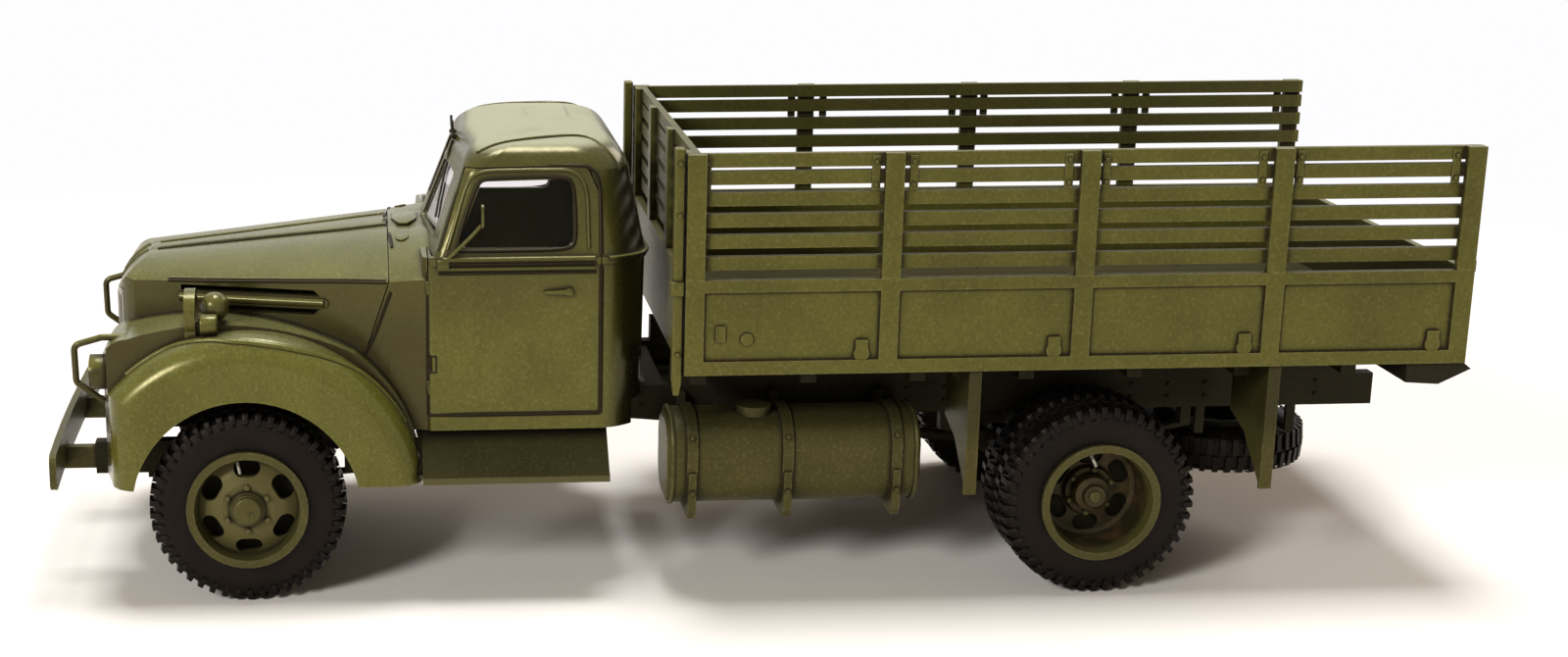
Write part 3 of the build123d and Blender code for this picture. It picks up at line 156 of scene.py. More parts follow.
def newMaterial(name):
    material = bpy.data.materials.new(name)
    material.use_nodes = True
    tree = material.node_tree
    return material, tree, tree.nodes["Principled BSDF"]


# camera, lamps, world and floor

cameraSet = {
    "place": (152.5, -24.85, 54.4),
    "yaw": -3.6,
    "pitch": 14.61,
    "focalPixels": 2302.1,
    "centrePixel": (525.2, 341.9),
    "imagePixels": (1600, 670),
    "sensor": 36,
    "clip": (0.005, 10),  # metres
}


def makeCamera():
    s = cameraSet
    width, height = s["imagePixels"]
    yaw = math.radians(s["yaw"])
    pitch = math.radians(s["pitch"])
    look = Vector((-math.cos(yaw) * math.cos(pitch), -math.sin(yaw) * math.cos(pitch), -math.sin(pitch)))
    bpy.ops.object.camera_add(location=Vector(s["place"]) * mm)
    camera = bpy.context.object
    camera.name = "camera"
    camera.rotation_euler = look.to_track_quat("-Z", "Y").to_euler()
    camera.data.sensor_width = s["sensor"]
    camera.data.lens = s["focalPixels"] / width * s["sensor"]
    camera.data.shift_x = (width / 2 - s["centrePixel"][0]) / width
    camera.data.shift_y = (s["centrePixel"][1] - height / 2) / width
    camera.data.clip_start, camera.data.clip_end = s["clip"]
    bpy.context.scene.camera = camera


lampSet = (
    # name, place, target, diameter, power, tint
    ("overheadLamp", (-35, -10, 440), (0, 0, 10), 170, 1.8, (1.0, 1.0, 0.985)),
    ("frontLamp", (330, -300, 240), (0, -10, 10), 130, 1.56, (1.0, 0.98, 0.93)),
    ("rearLamp", (-240, 320, 220), (0, 10, 12), 220, 0.55, (1.0, 0.9, 0.78)),
)


def makeLamp(name, place, target, size, power, tint):
    bpy.ops.object.light_add(type="AREA", location=Vector(place) * mm)
    lamp = bpy.context.object
    lamp.name = name
    lamp.data.shape = "DISK"
    lamp.data.size = size * mm
    lamp.data.energy = power
    lamp.data.color = tint
    lamp.rotation_euler = (Vector(target) - Vector(place)).to_track_quat("-Z", "Y").to_euler()


worldSet = {"ambient": (1.0, 0.7, 0.46), "strength": 0.115}


def makeWorld():
    # a weak warm fill; the camera, gloss and glass see plain white
    world = bpy.data.worlds.new("studioWorld")
    bpy.context.scene.world = world
    world.use_nodes = True
    tree = world.node_tree
    tree.nodes.clear()
    ambient = addNode(tree, "Background", {"Color": worldSet["ambient"], "Strength": worldSet["strength"]})
    white = addNode(tree, "Background", {"Color": (1, 1, 1), "Strength": 1})
    seen = rayMask(tree, "Is Camera Ray", "Is Glossy Ray", "Is Transmission Ray")
    addNode(tree, "OutputWorld", {"Surface": mixShaders(tree, seen, ambient.outputs[0], white.outputs[0])})


floorSet = {
    "size": 6,  # metres
    "colour": (0.95, 0.918, 0.885),
    "roughness": 0.9,
    "far": (0.045, 0.17),  # metres from the middle, where the floor fades to its far colour
    "farColour": (0.985, 0.985, 1.0),
}


def makeFloor():
    s = floorSet
    bpy.ops.mesh.primitive_plane_add(size=s["size"], location=(0, 0, 0))
    floor = bpy.context.object
    floor.name = "floor"
    material, tree, shader = newMaterial("paleFloor")
    feedAll(tree, shader, {"Roughness": s["roughness"], "Base Color": s["colour"]})
    far = ramp(tree, lengthOf(tree, ownPlace(tree)), *s["far"])
    share = times(tree, rayMask(tree, "Is Camera Ray", "Is Transmission Ray"), far)
    glow = addNode(tree, "Emission", {"Color": s["farColour"]})
    mixed = mixShaders(tree, share, shader.outputs[0], glow.outputs[0])
    feed(tree, tree.nodes["Material Output"].inputs["Surface"], mixed)
    floor.data.materials.append(material)


makeCamera()
for row in lampSet:
    makeLamp(*row)
makeWorld()
makeFloor()
bpy.context.scene.view_settings.view_transform = "Standard"
print("stage ready")


# the wear and painted shade that all paints share: grime and painted shade in corners and creases, rubbed edges,
# settled dust and a fine speckle

wearAndShadeSockets = (
    # the inputs are in the order of the rows in finishSet
    ("INPUT", "NodeSocketColor", ("Paint", "Grime And Shade", "Rubbed", "Dust")),
    ("INPUT", "NodeSocketFloat", ("Grime Amount", "Rubbed Amount", "Dust Amount", "Speckle Amount", "Gloss")),
    ("OUTPUT", "NodeSocketColor", ("Color",)),
    ("OUTPUT", "NodeSocketFloat", ("Roughness", "Height")),
)
wearAndShadeSet = {
    # noise: waves per mm, detail, stretch
    "patches": (0.22, 4),
    "streaks": (0.9, 4, (1, 1, 0.16)),
    "specks": (4.4, 2),
    "grain": (3.2, 4),
    # ramps: from, to, result at each end
    "shade": (0.3, 0.7, 0.86, 1.12),
    "streakMask": (0.55, 0.78, 0.0, 0.14),
    "paleSpecks": (0.575, 0.66),
    "darkSpecks": (0.47, 0.36),
    "wornGrain": (0.42, 0.6),
    "levelFace": (0.78, 0.94),
    "settled": (0.15, 0.5, 0.55, 1.0),
    "grimeAndShadeGrain": (0.2, 0.5, 0.55, 1.0),
    # radius or reach in mm, from, to, samples
    "edge": (0.16, 0.995, 0.86),
    # hollowShade and creviceShade: painted shade in corners and creases, darker where the ambient occlusion is low
    "hollowShade": (1.6, 0.92, 0.4, 6),
    "creviceShade": (0.5, 0.96, 0.66, 16),
    # what each part adds to the roughness and the height
    "dustMatt": 0.4,
    "grimeMatt": 0.25,
    "grainMatt": 0.25,
    "speckHeight": 0.5,
}


def buildWearAndShade():
    s = wearAndShadeSet
    group = bpy.data.node_groups.new("modelWearAndShade", "ShaderNodeTree")
    for way, kind, labels in wearAndShadeSockets:
        for label in labels:
            group.interface.new_socket(name=label, in_out=way, socket_type=kind)
    given = group.nodes.new("NodeGroupInput").outputs
    result = group.nodes.new("NodeGroupOutput")
    place = ownPlace(group)
    patches = noiseAt(group, place, *s["patches"])
    streaks = noiseAt(group, place, *s["streaks"])
    specks = noiseAt(group, place, *s["specks"])
    grain = noiseAt(group, place, *s["grain"])

    shade = ramp(group, patches, *s["shade"])
    tone = addNode(group, "HueSaturation", {"Color": given["Paint"], "Value": shade}).outputs["Color"]
    streakShare = times(group, ramp(group, streaks, *s["streakMask"]), given["Grime Amount"])
    tone = blendColour(group, streakShare, tone, given["Grime And Shade"])
    for ends, colour in (("paleSpecks", "Rubbed"), ("darkSpecks", "Grime And Shade")):
        share = times(group, ramp(group, specks, *s[ends]), given["Speckle Amount"])
        tone = blendColour(group, share, tone, given[colour])
    worn = ramp(group, grain, *s["wornGrain"])
    edgeShare = times(group, rubbedEdge(group, *s["edge"]), worn, given["Rubbed Amount"])
    tone = blendColour(group, edgeShare, tone, given["Rubbed"])
    level = ramp(group, axesOf(group, ownNormal(group))["Z"], *s["levelFace"])
    dustShare = times(group, level, ramp(group, patches, *s["settled"]), given["Dust Amount"])
    tone = blendColour(group, dustShare, tone, given["Dust"])
    # painted shade, with grime, in hollows and creases, in the grime colour
    hollowShade = maths(group, "MAXIMUM", nearCorner(group, *s["hollowShade"]), nearCorner(group, *s["creviceShade"]))
    grimeAndShadeShare = times(group, hollowShade, ramp(group, grain, *s["grimeAndShadeGrain"]), given["Grime Amount"])
    tone = blendColour(group, grimeAndShadeShare, tone, given["Grime And Shade"])

    matt = maths(group, "ADD", times(group, dustShare, s["dustMatt"]), times(group, grimeAndShadeShare, s["grimeMatt"]))
    matt = maths(group, "ADD", matt, times(group, maths(group, "SUBTRACT", grain, 0.5), s["grainMatt"]))
    roughness = maths(group, "ADD", matt, given["Gloss"], clamp=True)
    height = maths(group, "ADD", times(group, specks, s["speckHeight"]), grain)
    feedAll(group, result, {"Color": tone, "Roughness": roughness, "Height": height})
    return group


wearAndShadeGroup = buildWearAndShade()

paintSet = {"tint": (1, 0.92, 0.52), "reliefStrength": 0.6}
finishSet = {
    # name: colours of paint, grime with painted shade, rubbed edge and dust,
    # then amounts of grime with painted shade, rubbing, dust and speckle, roughness; relief in mm, specular level
    # the body's pale dust colour also paints the sheen on the roof
    "bodyPaint": (
        ((0.084, 0.082, 0.0125), (0.016, 0.011, 0.004), (0.24, 0.23, 0.1), (0.34, 0.345, 0.25)),
        (0.95, 0.35, 0.3, 0.16, 0.23), 0.004, 0.42,
    ),
    "bedPaint": (
        ((0.084, 0.08, 0.016), (0.014, 0.01, 0.004), (0.22, 0.2, 0.09), (0.24, 0.22, 0.13)),
        (1.0, 0.5, 0.2, 0.16, 0.42), 0.006, 0.3,
    ),
    "tankPaint": (
        ((0.05, 0.044, 0.0115), (0.012, 0.009, 0.004), (0.2, 0.18, 0.09), (0.14, 0.12, 0.07)),
        (1.0, 0.5, 0.12, 0.14, 0.44), 0.01, 0.26,
    ),
    "wheelPaint": (
        ((0.05, 0.045, 0.013), (0.008, 0.006, 0.003), (0.17, 0.16, 0.08), (0.14, 0.12, 0.07)),
        (1.0, 0.45, 0.1, 0.12, 0.4), 0.008, 0.3,
    ),
    "boardPaint": (
        ((0.026, 0.023, 0.0075), (0.006, 0.005, 0.003), (0.13, 0.12, 0.06), (0.05, 0.045, 0.026)),
        (1.0, 0.5, 0.1, 0.1, 0.55), 0.008, 0.06,
    ),
    "chassisPaint": (
        ((0.009, 0.0078, 0.005), (0.003, 0.0025, 0.002), (0.05, 0.042, 0.026), (0.04, 0.033, 0.022)),
        (0.9, 0.3, 0.12, 0.12, 0.6), 0.01, 0.2,
    ),
    "blackPaint": (
        ((0.008, 0.008, 0.008), (0.003, 0.003, 0.003), (0.06, 0.05, 0.04), (0.07, 0.06, 0.05)),
        (0.6, 0.25, 0.08, 0.12, 0.45), 0.008, 0.2,
    ),
    "sealBrown": (
        ((0.008, 0.005, 0.0032), (0.003, 0.002, 0.0015), (0.1, 0.07, 0.045), (0.06, 0.045, 0.03)),
        (0.7, 0.2, 0.03, 0.05, 0.4), 0.008, 0.2,
    ),
    "cabInside": (
        ((0.02, 0.014, 0.01), (0.005, 0.004, 0.003), (0.09, 0.07, 0.04), (0.08, 0.06, 0.045)),
        (0.9, 0.2, 0.1, 0.1, 0.6), 0.008, 0.2,
    ),
}
finishSet["rearWheelPaint"] = finishSet["wheelPaint"]


# stains and painted shade of single paints, by place in metres; ramps are from, to and the result at each end

bodyDustSheenAndShadeSet = {
    # dust, and a painted sheen on the roof, rising with height
    "dustAndSheenByHeight": (0.0225, 0.0285, 0.1, 0.95),
    "upright": (0.3, 0.7, 1.0, 0.0),
    "notLevel": (0.8, 0.92, 1.0, 0.0),
    "belowRoof": (0.028, 0.0292, 1.0, 0.0),
    # the masks below paint shade on upright sheets near the middle such as the hood's sides, the nose, the upper
    # sides and the eaves
    "innerSheetShade": (0.0093, 0.0105, 0.62, 0.0),
    "ahead": (-0.02155, -0.02145, 1.0, 0.0),
    "noseShadeByHeight": (0.0165, 0.0208, 0.82, 0.5),
    "hoodWidth": (0.0109, 0.011, 1.0, 0.0),
    "upperSideShade": (0.0165, 0.0225, 0.0, 0.42),
    "eaveShade": (0.0279, 0.0283, 0.0, 0.55),
    # painted shade behind the cab, where the headboard stands close
    "cabBackShade": (-0.0103, -0.0086, 0.0, 0.92),
    # the colour of the painted shade
    "shadeTone": (0.018, 0.0125, 0.005),
    "backShade": (0.0045, 0.0036, 0.0018),
}


def bodyDustSheenAndShade(tree, wearAndShade):
    # dust and a painted sheen towards the roof; brown painted shade on the inner sheets, the hood's sides and nose,
    # the upper sides and the eaves; dark painted shade behind the cab
    s = bodyDustSheenAndShadeSet
    place = axesOf(tree, ownPlace(tree))
    across = maths(tree, "ABSOLUTE", place["X"])
    facing = axesOf(tree, ownNormal(tree))["Z"]
    feed(tree, wearAndShade.inputs["Dust Amount"], ramp(tree, place["Z"], *s["dustAndSheenByHeight"]))
    upright = ramp(tree, facing, *s["upright"])
    below = ramp(tree, place["Z"], *s["belowRoof"])
    nose = times(
        tree,
        ramp(tree, place["Y"], *s["ahead"]),
        ramp(tree, place["Z"], *s["noseShadeByHeight"]),
        ramp(tree, across, *s["hoodWidth"]),
    )
    inner = times(tree, ramp(tree, across, *s["innerSheetShade"]), upright, below)
    noseAndUpperShade = maths(tree, "MAXIMUM", nose, ramp(tree, place["Z"], *s["upperSideShade"]))
    sides = maths(tree, "MAXIMUM", inner, times(tree, noseAndUpperShade, upright, below))
    eaveShade = times(tree, ramp(tree, place["Z"], *s["eaveShade"]), ramp(tree, facing, *s["notLevel"]))
    # painted shade on the sides, the nose and the eaves
    tone = blendColour(tree, maths(tree, "MAXIMUM", sides, eaveShade), wearAndShade.outputs["Color"], s["shadeTone"])
    # dark painted shade at the cab's rear
    back = times(tree, ramp(tree, place["Y"], *s["cabBackShade"]), upright)
    return blendColour(tree, back, tone, s["backShade"])


# a paler ring of dust and painted light on the front wheels' disc
discDustAndLightSet = {"hub": (0.00125, 0.00145, 0.0, 0.55), "rim": (0.0031, 0.0033, 1.0, 0.0), "dust": (0.1, 0.086, 0.032)}


def dustAndLightOnDisc(tree, wearAndShade):
    # a paler ring between the front wheel's hub and rim: dust, and painted light on a disc that sits in shade
    s = discDustAndLightSet
    centre = (0, -frontAxleY * mm, -axleZ * mm)
    centred = addNode(tree, "Mapping", {"Vector": ownPlace(tree), "Location": centre, "Scale": (0, 1, 1)})
    span = lengthOf(tree, centred.outputs["Vector"])
    ring = times(tree, ramp(tree, span, *s["hub"]), ramp(tree, span, *s["rim"]))
    return blendColour(tree, ring, wearAndShade.outputs["Color"], s["dust"])


heightShades = {
    # rows of ramp by height and colour: painted shade under the bed and under the cab, and one lighter strip
    # painted shade on the tank paint higher up, under the bed
    "tankPaint": (((0.0098, 0.0122, 0.0, 0.55), (0.01, 0.008, 0.004)),),
    "boardPaint": (
        # painted shade on the running boards' upper part, under the cab
        ((0.0101, 0.0108, 0.0, 0.9), (0.003, 0.0026, 0.002)),
        # lighter along the running boards' bottom edge
        ((0.00842, 0.00852, 0.75, 0.0), (0.11, 0.1, 0.045)),
    ),
}


def shadeByHeight(tree, wearAndShade, rows):
    # painted shade by height, and the running boards' lighter bottom strip
    tone = wearAndShade.outputs["Color"]
    height = axesOf(tree, ownPlace(tree))["Z"]
    for ends, shadeTone in rows:
        tone = blendColour(tree, ramp(tree, height, *ends), tone, shadeTone)
    return tone


bedShadeSet = {
    # where the painted shade inside the bed reaches
    "width": (0.0144, 0.0146, 1.0, 0.0),
    "height": (0.0213, 0.0219, 0.86, 0.45),
    "front": (-0.00515, -0.00495),
    "rear": (0.04525, 0.04545, 1.0, 0.0),
    "shadeTone": (0.018, 0.0145, 0.0075),
}


def shadeInsideBed(tree, wearAndShade):
    # painted shade with dirt inside the load bed, and most on its floor
    s = bedShadeSet
    place = axesOf(tree, ownPlace(tree))
    inside = times(
        tree,
        ramp(tree, maths(tree, "ABSOLUTE", place["X"]), *s["width"]),
        ramp(tree, place["Z"], *s["height"]),
        ramp(tree, place["Y"], *s["front"]),
        ramp(tree, place["Y"], *s["rear"]),
    )
    return blendColour(tree, inside, wearAndShade.outputs["Color"], s["shadeTone"])


dishShadeAndRustSet = {
    "depth": (0.0137, 0.0144, 0.8, 0.0),
    "rustNoise": (0.9, 4),
    "rustSpread": (0.4, 0.7),
    # the painted shade deep in the dish
    "deepShade": (0.008, 0.006, 0.004),
    "rust": (0.05, 0.026, 0.012),
}


def shadeAndRustInDish(tree, wearAndShade):
    # painted shade deep inside the rear wheels' dish, mottled with rust
    s = dishShadeAndRustSet
    place = ownPlace(tree)
    deep = ramp(tree, maths(tree, "ABSOLUTE", axesOf(tree, place)["X"]), *s["depth"])
    rust = ramp(tree, noiseAt(tree, place, *s["rustNoise"]), *s["rustSpread"])
    return blendColour(tree, deep, wearAndShade.outputs["Color"], blendColour(tree, rust, s["deepShade"], s["rust"]))


stainAndPaintedLightOf = {"bodyPaint": bodyDustSheenAndShade, "wheelPaint": dustAndLightOnDisc, "bedPaint": shadeInsideBed, "rearWheelPaint": shadeAndRustInDish}


def paintMaterial(name):
    colours, amounts, relief, specular = finishSet[name]
    material, tree, shader = newMaterial(name)
    wearAndShade = addNode(tree, "Group", node_tree=wearAndShadeGroup)
    for socket, value in zip(wearAndShade.inputs, (*colours, *amounts)):
        feed(tree, socket, value)
    tone = wearAndShade.outputs["Color"]
    if name in stainAndPaintedLightOf:
        tone = stainAndPaintedLightOf[name](tree, wearAndShade)
    elif name in heightShades:
        tone = shadeByHeight(tree, wearAndShade, heightShades[name])
    feedAll(tree, shader, {
        "Base Color": tone,
        "Roughness": wearAndShade.outputs["Roughness"],
        "Specular IOR Level": specular,
        "Specular Tint": paintSet["tint"],
    })
    addRelief(tree, shader, wearAndShade.outputs["Height"], relief, paintSet["reliefStrength"])
    return material


paints = {name: paintMaterial(name) for name in finishSet}

rubberSet = {
    "patches": (0.5, 4),
    "patchSpread": (0.3, 0.75),
    "colours": ((0.0028, 0.0024, 0.0022), (0.006, 0.0047, 0.004)),
    # painted shade in the tyre's corners and between its lugs, from the ambient occlusion
    "corner": (0.6, 0.8, 0.4, 6),
    "cornerShadeColour": (0.002, 0.0018, 0.0015),
    "edge": (0.12, 0.99, 0.85),
    "grain": (5.0, 3),
    "wornGrain": (0.4, 0.65),
    "wornShare": 0.3,
    "wornColour": (0.06, 0.045, 0.035),
    "specular": 0.14,
    "tint": (1, 0.82, 0.7),
    "roughness": (0.3, 0.7, 0.42, 0.58),
    "relief": (0.01, 0.5),
}


def rubberMaterial():
    s = rubberSet
    material, tree, shader = newMaterial("tyreRubber")
    place = ownPlace(tree)
    grain = noiseAt(tree, place, *s["grain"])
    tone = blendColour(tree, ramp(tree, noiseAt(tree, place, *s["patches"]), *s["patchSpread"]), *s["colours"])
    # painted shade where the ambient occlusion is low
    tone = blendColour(tree, nearCorner(tree, *s["corner"]), tone, s["cornerShadeColour"])
    edge = times(tree, rubbedEdge(tree, *s["edge"]), ramp(tree, grain, *s["wornGrain"]), s["wornShare"])
    tone = blendColour(tree, edge, tone, s["wornColour"])
    feedAll(tree, shader, {
        "Base Color": tone,
        "Roughness": ramp(tree, grain, *s["roughness"]),
        "Specular IOR Level": s["specular"],
        "Specular Tint": s["tint"],
    })
    addRelief(tree, shader, grain, *s["relief"])
    return material


mottledSet = {
    # noise is waves per mm and detail; roughness is a ramp on it, or one number; wave is scale and distortion
    "paleMetal": {
        "noise": (4.0, 3),
        "spread": (0.4, 0.7),
        "colours": ((0.62, 0.6, 0.54), (0.3, 0.26, 0.18)),
        "roughness": (0.3, 0.7, 0.3, 0.5),
        "metallic": 0.3,
    },
    "lampLens": {
        "noise": (1.5, 3),
        "spread": (0.35, 0.7),
        "colours": ((0.4, 0.38, 0.3), (0.16, 0.14, 0.09)),
        "roughness": (0.3, 0.7, 0.12, 0.3),
        "metallic": 0.85,
        "wave": (900, 0.4),
        "relief": (0.03, 0.8),
    },
    "seatCanvas": {
        "noise": (0.8, 4),
        "spread": (0.3, 0.7),
        "colours": ((0.05, 0.036, 0.018), (0.1, 0.075, 0.04)),
        "roughness": 0.85,
        "metallic": 0,
        "wave": (1500, 1.0),
        "relief": (0.02, 0.6),
    },
}


def mottledMaterial(name):
    # two colours mixed by noise, with a fluted or woven relief where the row gives a wave
    s = mottledSet[name]
    material, tree, shader = newMaterial(name)
    place = ownPlace(tree)
    noise = noiseAt(tree, place, *s["noise"])
    roughness = s["roughness"]
    if isinstance(roughness, tuple):
        roughness = ramp(tree, noise, *roughness)
    tone = blendColour(tree, ramp(tree, noise, *s["spread"]), *s["colours"])
    feedAll(tree, shader, {"Base Color": tone, "Roughness": roughness, "Metallic": s["metallic"]})
    if "wave" in s:
        addRelief(tree, shader, waveAt(tree, place, *s["wave"]), *s["relief"])
    return material


glassSet = {"colour": (0.93, 0.9, 0.91), "scratches": (0.5, 3), "roughness": (0.5, 0.8, 0.0, 0.06)}


def glassMaterial(name, bending):
    s = glassSet
    material, tree, shader = newMaterial(name)
    scratches = noiseAt(tree, ownPlace(tree), *s["scratches"])
    feedAll(tree, shader, {
        "Base Color": s["colour"],
        "Roughness": ramp(tree, scratches, *s["roughness"]),
        "Metallic": 0,
        "Transmission Weight": 1,
        "IOR": bending,
    })
    return material


bodyPaint, bedPaint, tankPaint = paints["bodyPaint"], paints["bedPaint"], paints["tankPaint"]
chassisPaint, blackPaint, sealBrown = paints["chassisPaint"], paints["blackPaint"], paints["sealBrown"]
rubber = rubberMaterial()
paleMetal = mottledMaterial("paleMetal")
pane = glassMaterial("clearPane", 1.12)
windscreenGlass = glassMaterial("screenPane", 1.62)
lens = mottledMaterial("lampLens")
canvas = mottledMaterial("seatCanvas")
print("materials ready")

nodeFinish = (
    # the rest are in the body's paint
    (rubber, "front_left_tyre front_right_tyre rear_left_tyres rear_right_tyres spare_tyre"),
    (windscreenGlass, "windscreen"),
    (pane, "rear_glass left_door_glass right_door_glass"),
    (lens, "headlamps"),
    (canvas, "bench_seat"),
    (paints["cabInside"], "dashboard cab_floor"),
    (blackPaint, "steering_wheel radiator exhaust"),
    (chassisPaint, "engine_block propeller_shaft rear_axle front_axle front_springs rear_springs"),
    (chassisPaint, "steering_knuckles tie_rod chassis_frame long_sills cross_sills spare_wheel"),
    (paints["wheelPaint"], "front_left_wheel front_right_wheel"),
    (paints["rearWheelPaint"], "rear_left_wheels rear_right_wheels"),
    (paints["boardPaint"], "running_boards"),
    (bedPaint, "bed_floor left_panel right_panel headboard tailgate left_rack right_rack front_rack"),
    (tankPaint, "front_bumper mudguard_boards fuel_tank tank_brackets"),
)
finishOf = {name: material for material, names in nodeFinish for name in names.split()}
for name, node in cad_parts.items():
    for slot in node.material_slots:
        slot.material = finishOf.get(name, bodyPaint)
print("finishes on", len(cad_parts), "nodes")


# making pieces; places and sizes are in millimetres

farOut = 30  # clear of the truck's side
overhead = 60  # clear of the roof


def aft(distance):
    return frontAxleY + distance


def sideName(side):
    return "left" if side > 0 else "right"


def fullPlaces(rows, side=1):
    # from rows of x, distance aft and height
    return [(side * x, aft(d), z) for x, d, z in rows]


def topPlaces(rows, side):
    # from rows of x and distance aft
    return [(side * x, aft(d), overhead) for x, d in rows]


def sidePlaces(rows):
    # from rows of distance aft and height
    return [(0, aft(d), z) for d, z in rows]


def boxOf(node):
    return (Vector(corner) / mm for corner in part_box(node))


def surfaceOf(*names):
    trees = []
    for name in names:
        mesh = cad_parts[name].data
        corners = [vertex.co.copy() for vertex in mesh.vertices]
        trees.append(BVHTree.FromPolygons(corners, [face.vertices for face in mesh.polygons]))
    return trees


def landOn(trees, start, direction):
    # the first surface met from start, and its normal
    best = None
    for tree in trees:
        place, normal, number, distance = tree.ray_cast(Vector(start) * mm, Vector(direction).normalized())
        if place is not None and (best is None or distance < best[2]):
            best = (place / mm, normal, distance)
    return best


def landAll(trees, rays):
    # where the rays, each a start and a direction, meet the surface
    hits = [landOn(trees, start, direction) for start, direction in rays]
    return [hit[0] for hit in hits if hit]


def fromSide(trees, side, y, z):
    return landOn(trees, (side * farOut, y, z), (-side, 0, 0))


def fromAbove(trees, x, y):
    return landOn(trees, (x, y, overhead), (0, 0, -1))


def release():
    if bpy.context.object and bpy.context.object.mode != "OBJECT":
        bpy.ops.object.mode_set(mode="OBJECT")
    bpy.ops.object.select_all(action="DESELECT")


def pickUp(piece):
    release()
    piece.select_set(True)
    bpy.context.view_layer.objects.active = piece


def startCube(place, size):
    release()
    bpy.ops.mesh.primitive_cube_add(size=1, location=Vector(place) * mm)
    piece = bpy.context.object
    piece.scale = Vector(size) * mm
    bpy.ops.object.transform_apply(location=False, rotation=False, scale=True)
    return piece


def startRound(place, radius, depth, direction, sides=20):
    release()
    turn = Vector(direction).to_track_quat("Z", "Y").to_euler()
    bpy.ops.mesh.primitive_cylinder_add(
        vertices=sides, radius=radius * mm, depth=depth * mm, location=Vector(place) * mm, rotation=turn
    )
    return bpy.context.object


def roundOver(piece, width, segments=2):
    pickUp(piece)
    soften = piece.modifiers.new("soften", "BEVEL")
    soften.width = width * mm
    soften.segments = segments
    soften.limit_method = "ANGLE"
    soften.angle_limit = math.radians(40)
    bpy.ops.object.modifier_apply(modifier=soften.name)
    return piece


def pickFaces(piece, wanted, reach=0.9):
    # into edit mode with the faces that look along wanted, in the piece's own axes
    pickUp(piece)
    for group in (piece.data.vertices, piece.data.edges, piece.data.polygons):
        for part in group:
            part.select = False
    for face in piece.data.polygons:
        face.select = face.normal.dot(Vector(wanted)) > reach
    bpy.ops.object.mode_set(mode="EDIT")
    bpy.ops.mesh.select_mode(type="FACE")


def shapeFaces(piece, wanted, *steps):
    # steps are inset by a width, move or extrude along a vector, and scale by factors
    pickFaces(piece, wanted)
    for step, value in steps:
        if step == "inset":
            bpy.ops.mesh.inset(thickness=value * mm)
        elif step == "move":
            bpy.ops.transform.translate(value=Vector(value) * mm)
        elif step == "extrude":
            bpy.ops.mesh.extrude_region_move(TRANSFORM_OT_translate={"value": tuple(Vector(value) * mm)})
        elif step == "scale":
            bpy.ops.transform.resize(value=value)
    bpy.ops.object.mode_set(mode="OBJECT")
    return piece


def joinAll(pieces):
    release()
    for piece in pieces:
        piece.select_set(True)
    bpy.context.view_layer.objects.active = pieces[0]
    if len(pieces) > 1:
        bpy.ops.object.join()
    return bpy.context.view_layer.objects.active


def copyTo(piece, turn=None):
    twin = piece.copy()
    twin.data = piece.data.copy()
    bpy.context.scene.collection.objects.link(twin)
    if turn:
        twin.matrix_world = turn @ twin.matrix_world
    return twin


def settle(piece):
    # origin to the world's, with the place in the mesh
    pickUp(piece)
    bpy.ops.object.transform_apply(location=True, rotation=True, scale=True)


def finish(parts, name, material, smooth=35, body="truck"):
    piece = joinAll(parts)
    settle(piece)
    piece.name = name
    piece.data.name = name
    piece.data.materials.clear()
    piece.data.materials.append(material)
    bpy.ops.object.shade_smooth_by_angle(angle=math.radians(smooth))
    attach(piece, body)
    piece.select_set(False)
    return piece


def tubeAlong(points, radius, sides=2, closed=False):
    # a round bead along points, made from a path
    release()
    bpy.ops.curve.primitive_nurbs_path_add()
    path = bpy.context.object
    path.data.splines.clear()
    line = path.data.splines.new("NURBS")
    line.points.add(len(points) - 1)
    for knot, place in zip(line.points, points):
        knot.co = (*(Vector(place) * mm), 1)
    line.use_cyclic_u = closed
    line.use_endpoint_u = not closed
    line.order_u = 3
    line.resolution_u = 4
    path.data.dimensions = "3D"
    path.data.bevel_depth = radius * mm
    path.data.bevel_resolution = sides
    path.data.use_fill_caps = not closed
    bpy.ops.object.convert(target="MESH")
    return bpy.context.object


beadSet = {"fall": 20, "lift": 0.1}  # lift is a share of the radius


def beadOn(trees, points, direction, radius):
    # a bead laid on a surface: each point falls along direction, and the bead's middle is a little above it
    direction = Vector(direction)
    hits = landAll(trees, [(Vector(place) - direction * beadSet["fall"], direction) for place in points])
    lift = direction.normalized() * radius * beadSet["lift"]
    return tubeAlong([place - lift for place in hits], radius)


def placesBeside(trees, points, side, shift=(0, 0, 0)):
    # the points brought to the truck's side; shift reads the surface beside a gap
    laid = []
    for x, y, z in points:
        hit = landOn(trees, Vector((side * farOut, y, z)) + Vector(shift), (-side, 0, 0))
        if hit:
            laid.append(Vector((hit[0].x, y, z)))
    return laid


def sealOn(trees, points, side, radius, shift=(0, 0, 0)):
    return tubeAlong(placesBeside(trees, points, side, shift), radius)


def between(table, count):
    # count points spread evenly over a short polyline
    points = [Vector(row) for row in table]
    lengths = [(b - a).length for a, b in zip(points, points[1:])]
    total = sum(lengths)
    result = []
    for index in range(count):
        want = total * index / (count - 1)
        for a, b, length in zip(points, points[1:], lengths):
            if want <= length + 1e-9:
                result.append(a.lerp(b, want / length if length else 0))
                break
            want -= length
        else:
            result.append(points[-1])
    return result


boltSet = {"sunk": 0.02, "crownInset": 0.3, "crownRise": 0.25}


